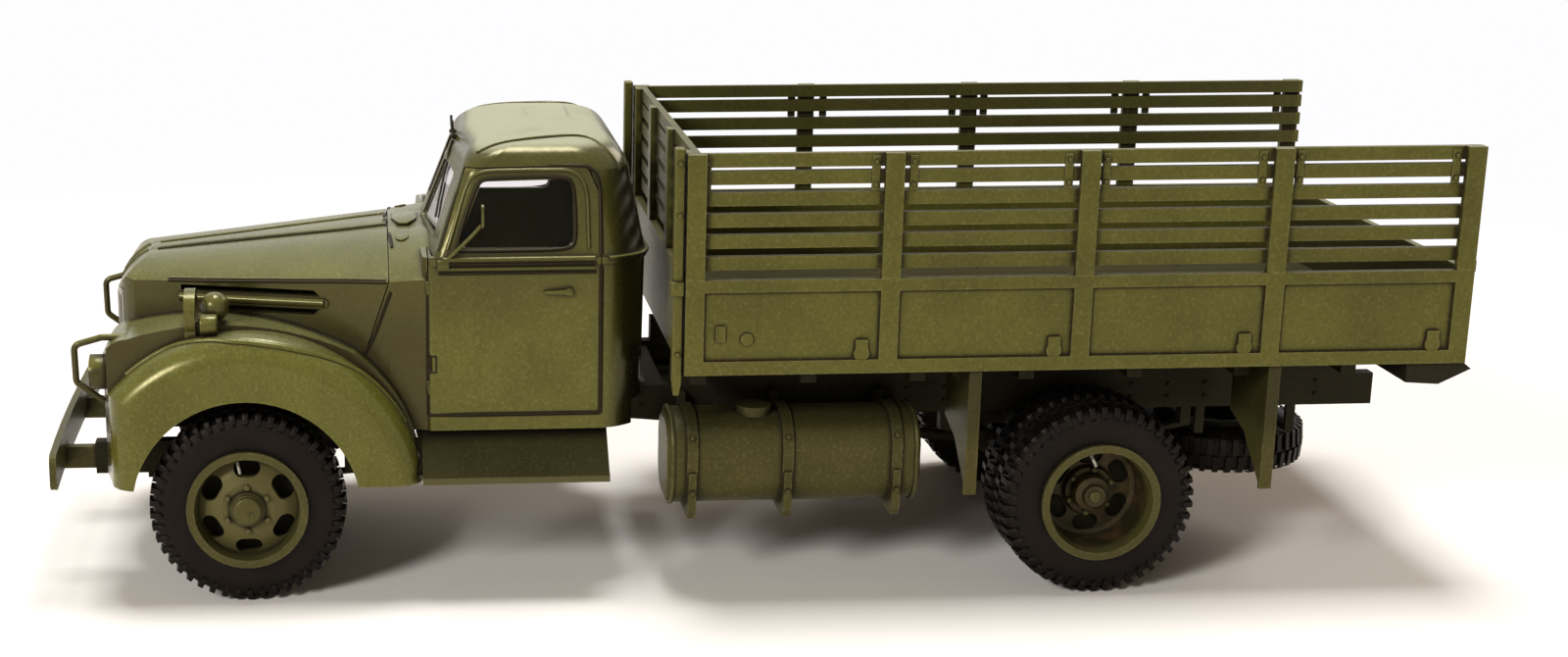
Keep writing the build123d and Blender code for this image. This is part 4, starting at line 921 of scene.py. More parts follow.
def boltAt(place, direction, radius, height, sides=6):
    s = boltSet
    aim = Vector(direction).normalized()
    bolt = startRound(Vector(place) + aim * (height / 2 - s["sunk"]), radius, height, aim, sides)
    crown = ("inset", radius * s["crownInset"]), ("move", aim * height * s["crownRise"])
    return shapeFaces(bolt, (0, 0, 1), *crown)


tyreSet = {
    "steps": 92,
    "sidewall": (  # x from the middle, radius
        (1.36, 3.64), (1.355, 3.95), (1.36, 4.35), (1.355, 4.95), (1.32, 5.4), (1.22, 5.75), (1.12, 5.98),
        (0.85, 6.16),
    ),
    "lugs": 46,  # on each side
    "lugMiddle": 0.62,
    "lugSize": (1.1, 0.42),  # across the tyre and round it
    "tip": 6.44,
    "floor": 6.29,
    "root": 0.1,  # how far a lug goes into the casing
    "endScale": (1, 0.9, 0.72),
    "endHeight": 6.12,
    "runs": (((0.16, 0, -0.42), (1, 0.9, 1)), ((0, 0, -0.3), (1, 0.8, 0.6))),  # extrusion and scale
    "widest": 1.37,
}


def makeTyre():
    # a whole tyre round the world's X axis
    s = tyreSet
    side = s["sidewall"]
    ring = list(side) + [(-x, radius) for x, radius in reversed(side)]
    release()
    bpy.ops.mesh.primitive_circle_add(vertices=len(ring), fill_type="NOTHING")
    casing = bpy.context.object
    for vertex, (x, radius) in zip(casing.data.vertices, ring):
        vertex.co = Vector((x, 0, radius)) * mm
    bpy.ops.object.mode_set(mode="EDIT")
    bpy.ops.mesh.select_all(action="SELECT")
    bpy.ops.mesh.spin(steps=s["steps"], angle=math.tau, center=(0, 0, 0), axis=(1, 0, 0))
    bpy.ops.mesh.select_all(action="SELECT")
    bpy.ops.mesh.remove_doubles(threshold=0.02 * mm)
    bpy.ops.mesh.normals_make_consistent(inside=False)
    bpy.ops.object.mode_set(mode="OBJECT")

    # one lug: crosses half the tread, turns the shoulder and runs down the side
    long, wide = s["lugSize"]
    rise = s["tip"] - s["floor"]
    lug = startCube((s["lugMiddle"], 0, s["floor"] + (rise - s["root"]) / 2), (long, wide, rise + s["root"]))
    pickFaces(lug, (1, 0, 0))
    bpy.ops.transform.resize(value=s["endScale"], center_override=(0, 0, s["endHeight"] * mm))
    for run, scale in s["runs"]:
        bpy.ops.mesh.extrude_region_move(TRANSFORM_OT_translate={"value": tuple(Vector(run) * mm)})
        bpy.ops.transform.resize(value=scale)
    bpy.ops.object.mode_set(mode="OBJECT")
    for vertex in lug.data.vertices:
        vertex.co.x = min(vertex.co.x, s["widest"] * mm)
    roundOver(lug, 0.05, 1)
    settle(lug)
    lugs = []
    for index in range(s["lugs"]):
        for flip in (0, 1):
            angle = math.tau * (index + flip * 0.5) / s["lugs"]
            twin = copyTo(lug)
            if flip:
                twin.data.transform(Matrix.Scale(-1, 4, (1, 0, 0)))
                twin.data.flip_normals()
            twin.data.transform(Matrix.Rotation(angle, 4, "X"))
            lugs.append(twin)
    bpy.data.objects.remove(lug)
    return joinAll([casing] + lugs)


tyreMaster = makeTyre()
tyrePlaces = (
    # name, node, body, axle, middles across
    ("frontLeftTyre", "front_left_tyre", "front_left", frontAxleY, (11.1,)),
    ("frontRightTyre", "front_right_tyre", "front_right", frontAxleY, (-11.1,)),
    ("rearLeftTyres", "rear_left_tyres", "rear_left", rearAxleY, (9.8, 13.1)),
    ("rearRightTyres", "rear_right_tyres", "rear_right", rearAxleY, (-9.8, -13.1)),
)
for name, node, body, axleY, middles in tyrePlaces:
    twins = [copyTo(tyreMaster, Matrix.Translation(Vector((x, axleY, axleZ)) * mm)) for x in middles]
    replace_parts(finish(twins, name, rubber, 30, body), node)
low, high = boxOf("spare_tyre")
flatTurn = Matrix.Translation((low + high) / 2 * mm) @ Matrix.Rotation(math.radians(90), 4, "Y")
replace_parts(finish([copyTo(tyreMaster, flatTurn)], "spareTyre", rubber, 30), "spare_tyre")
bpy.data.objects.remove(tyreMaster)
print("tyres ready")


wheelSet = {
    # nuts: x, circle, count, radius, height, start angle
    # discs: x, radius, depth, sides, rounding, its segments
    "front": {
        "nuts": ((12.5, 1.47, 6, 0.21, 0.24, 0.52),),
        "discs": ((13.0, 0.95, 0.5, 28, 0.2, 3), (12.62, 1.16, 0.16, 28, 0.06, 2)),
        "capBolts": ((13.24, 0.1, -0.04), (13.24, 0.35, -0.14)),
        "valveX": 11.1,
    },
    "rear": {
        "nuts": ((12.25, 1.49, 6, 0.21, 0.24, 0.4), (13.16, 0.62, 8, 0.1, 0.12, 0)),
        "discs": ((13.5, 0.42, 0.35, 16, 0.1, 2),),
        "capBolts": (),
        "valveX": 13.1,
    },
    "capBolt": (0.09, 0.08, 8),
    "valve": ((0.9, -0.6, 3.0), (1.15, -0.52, 2.75), (1.5, -0.42, 2.45)),
    "valveRadius": 0.1,
}


def makeWheelParts(end, side, axleY):
    s = wheelSet[end]
    outward = (side, 0, 0)
    body = end + "_" + sideName(side)
    name = end + sideName(side).capitalize()

    def onWheel(x, y, z):
        return (side * x, axleY + y, axleZ + z)

    parts = []
    for x, circle, count, radius, height, start in s["nuts"]:
        for index in range(count):
            angle = start + math.tau * index / count
            place = onWheel(x, circle * math.cos(angle), circle * math.sin(angle))
            parts.append(boltAt(place, outward, radius, height))
    for x, radius, depth, sides, rounding, segments in s["discs"]:
        parts.append(roundOver(startRound(onWheel(x, 0, 0), radius, depth, outward, sides), rounding, segments))
    parts += [boltAt(onWheel(*place), outward, *wheelSet["capBolt"]) for place in s["capBolts"]]
    valve = tubeAlong([onWheel(s["valveX"] + x, y, z) for x, y, z in wheelSet["valve"]], wheelSet["valveRadius"], 3)
    finish(parts, name + "WheelNuts", paints["wheelPaint"], body=body)
    finish([valve], name + "WheelValve", paleMetal, body=body)


for end, axleY in (("front", frontAxleY), ("rear", rearAxleY)):
    for side in (1, -1):
        makeWheelParts(end, side, axleY)
print("wheels ready")


hoodTrees = surfaceOf("hood", "cab_shell")
fenderTrees = {1: surfaceOf("left_fender"), -1: surfaceOf("right_fender")}
cabTrees = surfaceOf("cab_shell", "left_door", "right_door")

hoodSet = {
    "beadRadius": 0.13,
    "sideBeadRadius": 0.117,
    "centreBead": ((1.77, 9.25), (1.75, 6.39), (1.48, 3.05), (1.23, -0.29), (1.0, -3.64), (0.95, -6.2)),
    "noseTop": ((0.95, -6.6, 21.15), (0.93, -7.6, 20.85), (0.92, -8.35, 20.0)),
    "noseFront": ((0.92, -8.35, 20.0), (0.92, -8.8, 18.9), (0.92, -8.9, 17.2)),
    "noseAim": (0, 1, -0.35),
    "sideBead": (
        (5.95, -5.12, 20.47), (6.47, -3.28, 20.53), (7.35, -0.01, 20.65), (8.22, 3.22, 20.78),
        (9.05, 6.43, 20.92), (9.75, 9.2, 20.98),
    ),
    "fenderBead": (
        (11.05, -8.6, 16.4), (11.05, -7.79, 16.9), (11.05, -6.53, 17.15), (11.15, -5.15, 17.32),
        (11.89, -2.99, 17.61), (12.5, -0.77, 17.69), (12.66, 1.41, 17.5), (12.59, 3.58, 17.06),
        (12.22, 5.75, 16.34), (11.6, 7.73, 15.09), (11.2, 9.31, 13.5), (11.1, 10.4, 11.8),
    ),
    "fenderBeadRadius": 0.2,
    "fenderReach": 3,
    # how many points each line is laid with
    "topCount": 14,
    "noseCount": 6,
    "sideCount": 12,
    "fenderCount": 30,
}


def makeHoodBeads():
    s = hoodSet
    parts = []
    for side in (1, -1):
        top = between(topPlaces(s["centreBead"], side), s["topCount"])
        nose = between(fullPlaces(s["noseTop"], side), s["noseCount"])
        nose += between(fullPlaces(s["noseFront"], side), s["noseCount"])[1:]
        crease = between(fullPlaces(s["sideBead"], side), s["sideCount"])
        parts.append(beadOn(hoodTrees, top, (0, 0, -1), s["beadRadius"]))
        parts.append(beadOn(hoodTrees, nose, s["noseAim"], s["beadRadius"]))
        parts.append(beadOn(hoodTrees, crease, (-side, 0, -0.25), s["sideBeadRadius"]))
    finish(parts, "hoodBeads", bodyPaint, 50)


def makeFenderBead(side):
    s = hoodSet
    rays = []
    for place in between(fullPlaces(s["fenderBead"], side), s["fenderCount"]):
        inward = Vector((0, frontAxleY - place.y, axleZ - place.z)).normalized()
        rays.append((place - inward * s["fenderReach"], inward))
    bead = tubeAlong(landAll(fenderTrees[side], rays), s["fenderBeadRadius"], 3)
    finish([bead], sideName(side) + "FenderBead", bodyPaint, 50)


sealSet = {
    "radius": 0.14,
    "hoodRadius": 0.1,
    "shadeLineRadius": 0.11,
    # how far the painted shade lines sit from the beads
    "shadeLineOffset": 0.2,
    # heights of painted shade lines between and under the belt ridges
    "beltShadeLines": (22.17, 21.55),
    "beltShadeReach": (12.6, 22.8),
    "doorFront": 11.91,
    "doorRear": 23.14,
    "doorBottom": 12.06,
    "frontHeights": (12.06, 14.5, 17, 19.5, 21.6),
    "rearHeights": (12.06, 14.5, 17, 19.5, 21.9),
    "frameHeights": (22.7, 24, 25.3, 26.5),
    "frameTop": (
        (12.7, 23.0), (14.38, 28.12), (14.9, 28.24), (21.9, 28.24), (22.4, 28.14), (22.8, 27.86),
        (23.05, 27.4), (23.14, 26.5),
    ),
    "hoodSeam": ((0.4, 9.2), (1.8, 9.25), (4.2, 9.5), (6.59, 9.66)),
    "hoodSideSeam": ((9.5, 20.2), (9.05, 19.0), (8.55, 17.6), (8.05, 16.4), (7.49, 15.66)),
}


def makeDoorSeal(side):
    s = sealSet
    front, rear = s["doorFront"], s["doorRear"]
    lines = (
        # rows of distance aft and height, and where the surface is read
        ([(front, z) for z in s["frontHeights"]], (0, -0.12, 0)),
        ([(rear, z) for z in s["rearHeights"]], (0, 0.12, 0)),
        ([(rear, z) for z in s["frameHeights"]], (0, 0.14, 0)),
        ([(front + (rear - front) * step / 6, s["doorBottom"]) for step in range(7)], (0, 0, -0.1)),
        (s["frameTop"], (0, -0.02, 0.12)),
    )
    parts = [sealOn(cabTrees, sidePlaces(rows), side, s["radius"], shift) for rows, shift in lines]
    # dark lines of painted shade between and under the belt ridges
    for height in s["beltShadeLines"]:
        beltShadeLine = between(sidePlaces([(d, height) for d in s["beltShadeReach"]]), 6)
        parts.append(sealOn(cabTrees, beltShadeLine, side, s["shadeLineRadius"]))
    finish(parts, sideName(side) + "DoorSealAndShadeLines", sealBrown, 50)


def makeHoodSeal():
    # dark lines at the hood's seam, and painted shade lines beside its top beads and under its side creases
    s = sealSet
    beside = [(x + s["shadeLineOffset"], d) for x, d in hoodSet["centreBead"]]
    under = [(x, d, z - s["shadeLineOffset"]) for x, d, z in hoodSet["sideBead"]]
    parts = []
    for side in (1, -1):
        seam = between(topPlaces(s["hoodSeam"], side), 8)
        down = between(sidePlaces(s["hoodSideSeam"]), 8)
        parts.append(beadOn(hoodTrees, seam, (0, 0, -1), s["hoodRadius"]))
        parts.append(sealOn(hoodTrees, down, side, s["hoodRadius"], (0, 0.12, 0)))
        # painted shade lines beside the top beads and under the side creases
        centre = between(topPlaces(beside, side), hoodSet["topCount"])
        crease = between(fullPlaces(under, side), hoodSet["sideCount"])
        parts.append(beadOn(hoodTrees, centre, (0, 0, -1), s["shadeLineRadius"]))
        parts.append(beadOn(hoodTrees, crease, (-side, 0, -0.25), s["shadeLineRadius"]))
    finish(parts, "hoodSeamsAndShadeLines", sealBrown, 50)


cabTrimSet = {
    "drip": (
        (8.28, 15.25, 28.98), (8.06, 15.96, 29.32), (7.86, 16.74, 29.53), (7.6, 18.03, 29.7),
        (7.27, 19.65, 29.79), (7.05, 20.95, 29.83), (6.9, 22.2, 29.78), (7.22, 22.95, 29.55),
        (7.83, 23.55, 29.1), (8.18, 24.2, 28.41), (8.31, 24.51, 27.78),
    ),
    "dripLean": (0.75, 0, 0.66),
    "dripReach": 6,
    "frame": (  # distance aft and height on the cab's side
        (13.2, 23.1), (14.45, 27.0), (14.9, 27.75), (15.7, 27.98), (18.5, 28.0), (21.2, 27.97), (21.95, 27.6),
        (22.3, 26.6), (22.35, 23.1),
    ),
    "belts": (21.85, 22.49),
    "beltReach": (12.9, 22.7),
    "rearBelt": (7.4, 23.6, 22.45),
    "rearReach": 12,
    "cornerAngles": (0, 10, 20, 30, 40, 50, 60, 70, 80, 90),
    "backShares": (0.7, 0.35, 0),
    "ridgeRadius": 0.16,
    "frameRadius": 0.13,
    "window": (
        (13.66, 23.0), (14.4, 25.3), (15.15, 27.1), (15.6, 27.48), (18.0, 27.55), (20.8, 27.55), (21.4, 27.2),
        (21.5, 25.2), (21.48, 23.5), (21.1, 23.0), (17.5, 22.98), (14.3, 22.98),
    ),
    "windowMiddle": (17.8, 25.2),
    "windowReach": 0.14,
}


def makeCabTrim(side):
    s = cabTrimSet
    x, y, z = s["dripLean"]
    out = Vector((side * x, y, z))
    drip = []
    for place in fullPlaces(s["drip"], side):
        hit = landOn(cabTrees, Vector(place) + out * s["dripReach"], -out)
        drip.append(hit[0] if hit else place)
    parts = [tubeAlong(drip, s["ridgeRadius"])]
    parts.append(sealOn(cabTrees, between(sidePlaces(s["frame"]), 22), side, s["frameRadius"]))
    for height in s["belts"]:
        belt = between(sidePlaces([(d, height) for d in s["beltReach"]]), 6)
        parts.append(sealOn(cabTrees, belt, side, s["ridgeRadius"]))

    # the ridge that turns the cab's rear corner and crosses its back
    x, d, height = s["rearBelt"]
    corner = Vector((side * x, aft(d), height))
    rays = []
    for angle in map(math.radians, s["cornerAngles"]):
        out = Vector((side * math.cos(angle), math.sin(angle), 0))
        rays.append((corner + out * s["rearReach"], -out))
    rays += [((side * x * share, aft(d) + s["rearReach"], height), (0, -1, 0)) for share in s["backShares"]]
    parts.append(tubeAlong(landAll(cabTrees, rays), s["ridgeRadius"]))
    finish(parts, sideName(side) + "CabTrim", bodyPaint, 50)

    middleD, middleZ = s["windowMiddle"]
    ring = []
    for d, z in s["window"]:
        outward = Vector((0, d - middleD, z - middleZ)).normalized() * s["windowReach"]
        ring += placesBeside(cabTrees, sidePlaces([(d, z)]), side, outward)
    windowSeal = tubeAlong(ring, s["frameRadius"], closed=True)
    finish([windowSeal], sideName(side) + "WindowSeal", sealBrown, 50)


doorSet = {
    "skinAt": (20.3, 20.2),  # where the door's face is read for the handle
    "handle": (20.35, 20.27),
    "handleSize": (0.24, 1.9, 0.4),
    "handleProud": 0.24,
    "boss": (21.05, 20.27, 0.27, 0.34),  # distance aft, height, radius, depth
    "bossProud": 0.12,
    "hinges": (13.9, 20.6),
    "hingeSkin": 11.6,
    "hingeSize": (0.2, 0.9),  # radius, length
    "keeper": (12.12, 15.5),
    "keeperSkin": 12.6,
    "keeperSize": (0.1, 0.62, 1.15),
    "keeperRim": 0.12,
    "keeperSunk": 0.06,
}


def makeDoorFittings(side):
    s = doorSet
    d, z = s["skinAt"]
    skin = fromSide(cabTrees, side, aft(d), z)[0].x
    d, z = s["handle"]
    lever = startCube((skin + side * s["handleProud"], aft(d), z), s["handleSize"])
    roundOver(shapeFaces(lever, (0, -1, 0), ("scale", (0.7, 1, 0.45))), 0.09)
    d, z, radius, depth = s["boss"]
    boss = roundOver(startRound((skin + side * s["bossProud"], aft(d), z), radius, depth, (side, 0, 0), 14), 0.05)
    parts = [lever, boss]
    for height in s["hinges"]:
        skin = fromSide(cabTrees, side, aft(s["hingeSkin"]), height)[0].x
        place = (skin, aft(sealSet["doorFront"]), height)
        parts.append(roundOver(startRound(place, *s["hingeSize"], (0, 0, 1), 12), 0.06))
    finish(parts, sideName(side) + "DoorFittings", bodyPaint)
    d, z = s["keeper"]
    skin = fromSide(cabTrees, side, aft(s["keeperSkin"]), z)[0].x
    keeper = startCube((skin, aft(d), z), s["keeperSize"])
    shapeFaces(keeper, (side, 0, 0), ("inset", s["keeperRim"]), ("move", (-side * s["keeperSunk"], 0, 0)))
    finish([keeper], sideName(side) + "DoorKeeper", sealBrown)


mirrorSet = {
    "foot": (10.9, 12.9, 22.15),
    "footSize": (0.4, 0.8, 0.7),
    "strut": ((10.95, 12.95, 22.3), (11.0, 13.9, 23.2), (11.05, 15.0, 24.3), (11.08, 15.35, 24.75)),
    "strutRadius": 0.12,
    "head": (11.1, 15.45, 25.35),
    "headSize": (0.75, 0.2, 1.4),
    "rim": 0.07,
    "sunk": 0.04,
}


def makeMirror():
    s = mirrorSet
    foot, head = fullPlaces((s["foot"], s["head"]))
    foot = roundOver(startCube(foot, s["footSize"]), 0.12)
    strut = tubeAlong(fullPlaces(s["strut"]), s["strutRadius"], 3)
    head = startCube(head, s["headSize"])
    shapeFaces(head, (0, 1, 0), ("inset", s["rim"]), ("move", (0, -s["sunk"], 0)))
    roundOver(head, 0.05)
    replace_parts(finish([foot, strut, head], "doorMirror", bodyPaint), "door_mirror")


wiperSet = {
    "arm": ((1.1, 13.95, 28.6), (1.5, 13.62, 27.6), (2.6, 13.25, 26.2), (3.94, 12.85, 25.15), (5.3, 12.6, 24.2)),
    "armRadius": 0.08,
    "armProud": 0.1,
    "armLean": (0, -1, 0.45),
    "reach": 8,
    "pivot": (1.05, 14.15, 28.75),
    "pivotSize": (0.2, 0.5),
    "pivotProud": 0.12,
    "pivotLean": (0, -0.8, 0.6),
    "stub": ((0.2, (0, 0, 0)), (0.35, (0, 0.05, 0.5)), (0.4, (0, 0.1, 0.95))),  # how far out, and a shift
    "stubRadius": 0.09,
}


def makeWipers():
    s = wiperSet
    parts = []
    screenTrees = surfaceOf("windscreen", "cab_shell")
    for side in (1, -1):
        out = Vector(s["armLean"]).normalized()
        rays = [(place + out * s["reach"], -out) for place in between(fullPlaces(s["arm"], side), 9)]
        arm = [place + out * s["armProud"] for place in landAll(screenTrees, rays)]
        parts.append(tubeAlong(arm, s["armRadius"]))
        out = Vector(s["pivotLean"]).normalized()
        foot = landOn(screenTrees, Vector(fullPlaces([s["pivot"]], side)[0]) + out * s["reach"], -out)[0]
        parts.append(roundOver(startRound(foot + out * s["pivotProud"], *s["pivotSize"], out, 14), 0.06))
        parts.append(tubeAlong([foot + out * far + Vector(shift) for far, shift in s["stub"]], s["stubRadius"]))
    finish(parts, "wipers", sealBrown)


cowlSet = (
    # x, distance aft, size, corners
    (0, 10.55, (2.7, 0.92, 0.22), 8),
    (5.3, 10.35, (0.62, 0.42, 0.2), 20),
    (-5.3, 10.35, (0.62, 0.42, 0.2), 20),
)


def makeCowlLids():
    # lids that lie on the cowl: each is stretched in plan and follows its slope
    parts = []
    for x, d, (wide, deep, tall), corners in cowlSet:
        place, slope = fromAbove(hoodTrees, x, aft(d))[:2]
        lid = startRound(place, 1, tall, slope, corners)
        lid.rotation_euler.rotate_axis("Z", math.radians(22.5))
        settle(lid)
        for vertex in lid.data.vertices:
            off = vertex.co / mm - place
            fall = off.x * (wide - 1) * slope.x + off.y * (deep - 1) * slope.y
            vertex.co = (place + Vector((off.x * wide, off.y * deep, off.z - fall))) * mm
        parts.append(roundOver(lid, 0.06))
    finish(parts, "cowlLids", bodyPaint)


fenderSealSet = {"front": -7.2, "rear": 9.0, "count": 18, "inner": 4.5, "stride": 0.05, "search": 140, "radius": 0.11}


def makeFenderSeal(side):
    # a dark line in the corner between the hood's side and the fender
    s = fenderSealSet
    laid = []
    for step in range(s["count"]):
        y = aft(s["front"] + (s["rear"] - s["front"]) * step / (s["count"] - 1))
        for place in range(s["search"]):
            x = s["inner"] + s["stride"] * place
            top = fromAbove(fenderTrees[side], side * x, y)
            wall = top and fromSide(hoodTrees, side, y, top[0].z + 0.05)
            if wall and abs(wall[0].x) <= x + s["stride"]:
                laid.append(Vector((side * x, y, top[0].z)))
                break
    finish([tubeAlong(laid, s["radius"])], sideName(side) + "FenderSeal", sealBrown, 50)


ventSet = {"reach": (-4.35, 5.15), "height": 19.28, "radius": 0.3, "sunk": 0.1}


def makeVentRibs():
    # a half-round rib between the two slots on each side
    s = ventSet
    parts = []
    for side in (1, -1):
        line = between(sidePlaces([(d, s["height"]) for d in s["reach"]]), 14)
        laid = [place - Vector((side * s["sunk"], 0, 0)) for place in placesBeside(hoodTrees, line, side)]
        parts.append(tubeAlong(laid, s["radius"], 4))
    finish(parts, "ventRibs", bodyPaint)


headlampSet = {
    "radius": 1.16,
    "front": 0.12,
    "depth": 0.95,
    "bulge": (  # of the bowl's back
        ("inset", 0.1276),
        ("move", (0, 0.27, 0)),
        ("inset", 0.174),
        ("move", (0, 0.252, 0)),
        ("inset", 0.232),
        ("move", (0, 0.18, 0)),
    ),
    "rim": 0.16,
    "lens": 0.95,
    "lensDepth": 0.22,
    "dome": (
        ("inset", 0.285),
        ("move", (0, -0.1, 0)),
        ("inset", 0.285),
        ("move", (0, -0.07, 0)),
        ("inset", 0.19),
        ("move", (0, -0.03, 0)),
    ),
}


def makeHeadlamps():
    # an olive bowl with a rim and a domed glass, on each side
    s = headlampSet
    low, high = boxOf("headlamps")
    forward = (0, -1, 0)
    bowls, glasses = [], []
    for side in (1, -1):
        middle = Vector((side * (high.x - (high.z - low.z) / 2), low.y, (low.z + high.z) / 2))
        bowl = startRound(middle + Vector((0, s["front"] + s["depth"] / 2, 0)), s["radius"], s["depth"], forward, 32)
        shapeFaces(bowl, (0, 0, -1), *s["bulge"])
        shapeFaces(bowl, (0, 0, 1), ("inset", s["rim"]), ("move", (0, s["rim"], 0)))
        bowls.append(roundOver(bowl, 0.06))
        glass = startRound(middle + Vector((0, s["front"] + s["lensDepth"], 0)), s["lens"], 0.2, forward, 32)
        glasses.append(shapeFaces(glass, (0, 0, 1), *s["dome"]))
    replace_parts(finish(bowls, "headlampBowls", bodyPaint), "headlamps")
    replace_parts(finish(glasses, "headlampGlasses", lens), "headlamps")


sideLampSet = {
    "place": (11.35, -2.2),
    "lift": 0.72,
    "radius": 0.68,
    "depth": 1.15,
    "rim": 0.12,
    "sunk": 0.08,
    "stem": (0.16, 0.6),  # radius, length
    "arm": ((-0.2, 0.1, 0), (-0.8, -0.2, 0.1), (-1.4, -0.7, 0.1)),
    "armRadius": 0.14,
}


def makeSideLamp():
    s = sideLampSet
    x, d = s["place"]
    ground = fromAbove(fenderTrees[1], x, aft(d))[0]
    middle = ground + Vector((0, 0, s["lift"]))
    shell = startRound(middle, s["radius"], s["depth"], (0, -1, 0))
    shapeFaces(shell, (0, 0, 1), ("inset", s["rim"]), ("move", (0, s["sunk"], 0)))
    roundOver(shell, 0.16, 3)
    stem = roundOver(startRound(ground + Vector((0, 0, 0.1)), *s["stem"], (0, 0, 1), 12), 0.04, 1)
    arm = tubeAlong([middle + Vector(shift) for shift in s["arm"]], s["armRadius"])
    finish([shell, stem, arm], "sideLamp", bodyPaint)


drumSet = {"front": (10.6, 3.35, 0.8), "rear": (11.2, 3.3, 0.7)}  # x, radius, depth


def makeDrum(end, side, axleY):
    x, radius, depth = drumSet[end]
    drum = roundOver(startRound((side * x, axleY, axleZ), radius, depth, (side, 0, 0), 40), 0.2)
    name = end + sideName(side).capitalize() + "Drum"
    finish([drum], name, chassisPaint, body=end + "_" + sideName(side))


makeHoodBeads()
for side in (1, -1):
    makeFenderBead(side)
for side in (1, -1):
    makeDoorSeal(side)
    makeCabTrim(side)
    makeDoorFittings(side)
    makeFenderSeal(side)
makeHoodSeal()
makeMirror()
makeWipers()
makeCowlLids()
makeVentRibs()
makeHeadlamps()
makeSideLamp()
for side in (1, -1):
    makeDrum("front", side, frontAxleY)
    makeDrum("rear", side, rearAxleY)
print("cab and nose trim ready")


bedSet = {
    "plates": (29.3, 40.0, 42.4, 52.3, 54.7, 64.8, 67.2, 77.4),  # distance aft
    "plateSize": (0.16, 0.55, 2.25),
    "plateHeight": 28.55,
    "slatFace": 14.72,
    "slatMiddle": 29.4,
    "boltRise": 0.72,
    "plateBolt": (0.15, 0.13),  # radius, height
    "boxLock": (30.34, 18.33),
    "boxLockSize": (0.26, 0.62, 1.05),
    "boxLockProud": 0.05,
    "boxLockSunk": 0.1,
    "roundLock": (32.04, 17.97),
    "roundLockSize": (0.42, 0.2),
    "roundLockProud": 0.04,
    "lockRim": 0.13,
    "post": (14.5, 27.62),
    "postSize": (0.85, 0.62, 15.0),
    "postTop": 30.25,
    "postPoint": 14.2,
    "pointScale": (0.35, 0.6, 1),
    "postBolts": (17.0, 26.0, 29.3),
    "postBolt": (0.16, 0.12),
    "block": (14.62, 27.55, 21.3),
    "blockSize": (0.95, 0.85, 0.95),
}


def makeBedFittings(side):
    s = bedSet
    outward = (side, 0, 0)
    rackTrees = surfaceOf(sideName(side) + "_rack")
    panelTrees = surfaceOf(sideName(side) + "_panel")
    parts = []
    for d in s["plates"]:
        hit = fromSide(rackTrees, side, aft(d), s["slatMiddle"])
        if hit is None:
            continue
        skin = side * min(abs(hit[0].x), s["slatFace"])
        parts.append(roundOver(startCube((skin, aft(d), s["plateHeight"]), s["plateSize"]), 0.04, 1))
        for rise in (-s["boltRise"], s["boltRise"]):
            place = (skin + side * s["plateSize"][0] / 2, aft(d), s["plateHeight"] + rise)
            parts.append(boltAt(place, outward, *s["plateBolt"]))

    d, z = s["boxLock"]
    skin = fromSide(panelTrees, side, aft(d), z)[0].x
    lock = startCube((skin + side * s["boxLockProud"], aft(d), z), s["boxLockSize"])
    shapeFaces(lock, outward, ("inset", s["lockRim"]), ("move", (-side * s["boxLockSunk"], 0, 0)))
    parts.append(roundOver(lock, 0.05, 1))
    d, z = s["roundLock"]
    skin = fromSide(panelTrees, side, aft(d), z)[0].x
    lock = startRound((skin + side * s["roundLockProud"], aft(d), z), *s["roundLockSize"], outward)
    parts.append(roundOver(shapeFaces(lock, (0, 0, 1), ("inset", s["lockRim"])), 0.05))

    x, d = s["post"]
    wide, deep, tall = s["postSize"]
    post = startCube((side * x, aft(d), s["postTop"] - tall / 2), (wide, deep, tall))
    drop = s["postTop"] - tall - s["postPoint"]
    shapeFaces(post, (0, 0, -1), ("extrude", (0, 0, -drop)), ("scale", s["pointScale"]))
    roundOver(post, 0.07, 1)
    block = roundOver(startCube(fullPlaces([s["block"]], side)[0], s["blockSize"]), 0.12)
    for height in s["postBolts"]:
        parts.append(boltAt((side * (x + wide / 2), aft(d), height), outward, *s["postBolt"]))
    finish(parts + [post, block], sideName(side) + "BedFittings", bedPaint)


hookSet = {
    "face": (28.6, 26.9),  # where the rack's side is read
    "place": (28.62, 27.0),
    "size": (0.5, 0.24),  # radius, depth
    "sunk": 0.02,
    "farthest": 14.98,
    "rim": 0.14,
}


def makeRackHook(side):
    # the round hook that holds the rack at the bed's front corner
    s = hookSet
    d, z = s["face"]
    hit = fromSide(surfaceOf(sideName(side) + "_rack"), side, aft(d), z)
    x = min(abs(hit[0].x), s["farthest"]) - s["sunk"]
    d, z = s["place"]
    hook = startRound((side * x, aft(d), z), *s["size"], (side, 0, 0))
    roundOver(shapeFaces(hook, (0, 0, 1), ("inset", s["rim"])), 0.06)
    finish([hook], sideName(side) + "RackHook", bedPaint)


plankSet = {
    "width": 2.7,
    "seam": (0.09, 0.05, 0.6),  # width, height, and how much shorter than the floor
    "boltRows": 7,
    "boltMargin": 2,
    "bolt": (0.11, 0.05),
}


def makePlankSeams():
    s = plankSet
    low, high = boxOf("bed_floor")
    size = high - low
    wide, tall, short = s["seam"]
    count = int(size.x / s["width"])
    parts = []
    for index in range(1, count):
        place = (low.x + size.x * index / count, (low.y + high.y) / 2, high.z - 0.01)
        parts.append(roundOver(startCube(place, (wide, size.y - short, tall)), 0.012, 1))
    for index in range(s["boltRows"]):
        y = low.y + s["boltMargin"] + (size.y - 2 * s["boltMargin"]) * index / (s["boltRows"] - 1)
        for plank in range(count):
            parts.append(boltAt((low.x + size.x * (plank + 0.5) / count, y, high.z), (0, 0, 1), *s["bolt"]))
    finish(parts, "plankSeams", sealBrown)


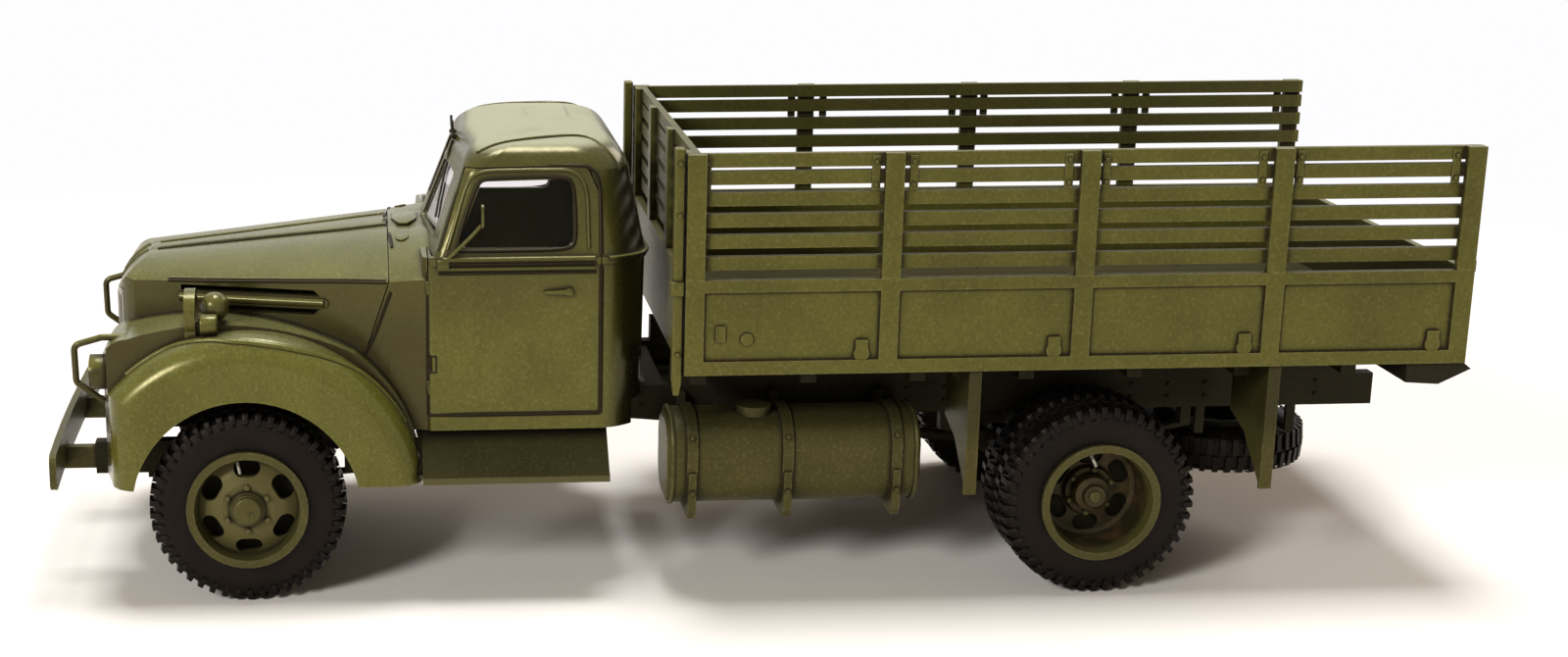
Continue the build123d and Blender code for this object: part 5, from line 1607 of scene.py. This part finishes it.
tankSet = {
    "rim": 0.16,
    "inset": 0.35,
    "corner": 2.2,
    "top": 12.0,
    "steps": 32,
    "straps": (29.0, 35.3, 42.5),
    "boltHeights": (7.2, 10.8),
    "bolt": (0.17, 0.2),
}


def makeTankDetails():
    # a rim round each end, and bolts on the straps
    s = tankSet
    low, high = boxOf("fuel_tank")
    high.z = min(high.z, s["top"])
    middle, half = (low + high) / 2, (high - low) / 2
    corner = s["corner"]
    parts = []
    for y in (low.y + s["inset"], high.y - s["inset"]):
        ring = []
        for index in range(s["steps"]):
            angle = math.tau * (index + 0.5) / s["steps"]
            cosine, sine = math.cos(angle), math.sin(angle)
            x = math.copysign(half.x - corner, cosine) + corner * cosine
            z = math.copysign(half.z - corner, sine) + corner * sine
            ring.append((middle.x + x, y, middle.z + z))
        parts.append(tubeAlong(ring, s["rim"], closed=True))
    strapTrees = surfaceOf("tank_brackets", "fuel_tank")
    for d in s["straps"]:
        for z in s["boltHeights"]:
            hit = fromSide(strapTrees, 1, aft(d), z)
            if hit:
                parts.append(boltAt(hit[0], hit[1], *s["bolt"]))
    finish(parts, "tankDetails", tankPaint)


frameSet = {
    "rivet": (0.13, 0.12),
    "rivetStep": 2.6,
    "rivetEnds": (3, 2),  # from the frame's front and back
    "rows": (11.2, 12.1),
    "between": 12,  # rays start between the frame and the wheels
    "railReach": 7.5,
    "boltShifts": (-0.8, 0.8),
    "sideways": 0.9,  # a rivet only sits on a face that looks this squarely to the side
    "springEdge": 0.5,
    "hoop": ((-0.62, -1.6), (-0.62, 0), (-0.4, 0.18), (0.4, 0.18), (0.62, 0), (0.62, -1.6)),
    "hoopRadius": 0.14,
}


def makeFrameBolts():
    # rivets along the rails, and hoops over the springs at each axle
    s = frameSet
    trees = surfaceOf("chassis_frame")
    low, high = boxOf("chassis_frame")
    front, back = s["rivetEnds"]
    parts = []
    for side in (1, -1):
        y = low.y + front
        while y < high.y - back:
            for z in s["rows"]:
                hit = landOn(trees, (side * s["between"], y, z), (-side, 0, 0))
                if hit and abs(hit[0].x) < s["railReach"] and abs(hit[1].x) > s["sideways"]:
                    parts.append(boltAt(hit[0], (side, 0, 0), *s["rivet"]))
            y += s["rivetStep"]
    for node, axleY in (("front_springs", frontAxleY), ("rear_springs", rearAxleY)):
        trees = surfaceOf(node)
        low, high = boxOf(node)
        x = high.x - s["springEdge"]
        for side in (1, -1):
            for shift in s["boltShifts"]:
                hit = fromAbove(trees, side * x, axleY + shift)
                if hit:
                    hoop = [(side * (x + across), axleY + shift, hit[0].z + rise) for across, rise in s["hoop"]]
                    parts.append(tubeAlong(hoop, s["hoopRadius"]))
    finish(parts, "frameBolts", chassisPaint)


cabInsideSet = {
    "gearFoot": (0.6, 14.2),
    "gearTop": (1.0, 15.4, 18.6),
    "underRoof": 18,  # the floor is looked for from here down
    "leverRadius": 0.14,
    "knob": (0.34, 0.6),
    "boot": (0.75, 0.5),
    "bootScale": (0.45, 0.45, 1),
    "dials": ((3.2, 0.55), (4.6, 0.42), (5.7, 0.42)),  # x, radius
    "behindDash": 25,
    "belowDashTop": 0.9,
    "dialDepth": 0.16,
    "dialProud": 0.06,
}


def makeCabControls():
    # the gear lever, and the dials on the dashboard
    s = cabInsideSet
    x, d = s["gearFoot"]
    base = landOn(surfaceOf("cab_floor", "cab_shell"), (x, aft(d), s["underRoof"]), (0, 0, -1))[0]
    crown = Vector(fullPlaces([s["gearTop"]])[0])
    lever = tubeAlong([base, base.lerp(crown, 0.5) + Vector((0, -0.3, 0)), crown], s["leverRadius"])
    knob = roundOver(startRound(crown, *s["knob"], (0, 0, 1), 16), 0.2, 3)
    boot = startRound(base + Vector((0, 0, 0.2)), *s["boot"], (0, 0, 1))
    roundOver(shapeFaces(boot, (0, 0, 1), ("scale", s["bootScale"])), 0.08)
    parts = [lever, knob, boot]
    dashTrees = surfaceOf("dashboard")
    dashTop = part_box("dashboard")[1][2] / mm
    for x, radius in s["dials"]:
        hit = landOn(dashTrees, (x, aft(s["behindDash"]), dashTop - s["belowDashTop"]), (0, -1, 0))
        if hit:
            dial = startRound(hit[0] + hit[1] * s["dialProud"], radius, s["dialDepth"], hit[1])
            parts.append(roundOver(dial, 0.04))
    finish(parts, "cabControls", blackPaint)


for side in (1, -1):
    makeBedFittings(side)
    makeRackHook(side)
makePlankSeams()
makeTankDetails()
makeFrameBolts()
makeCabControls()
print("bed, tank and frame details ready")
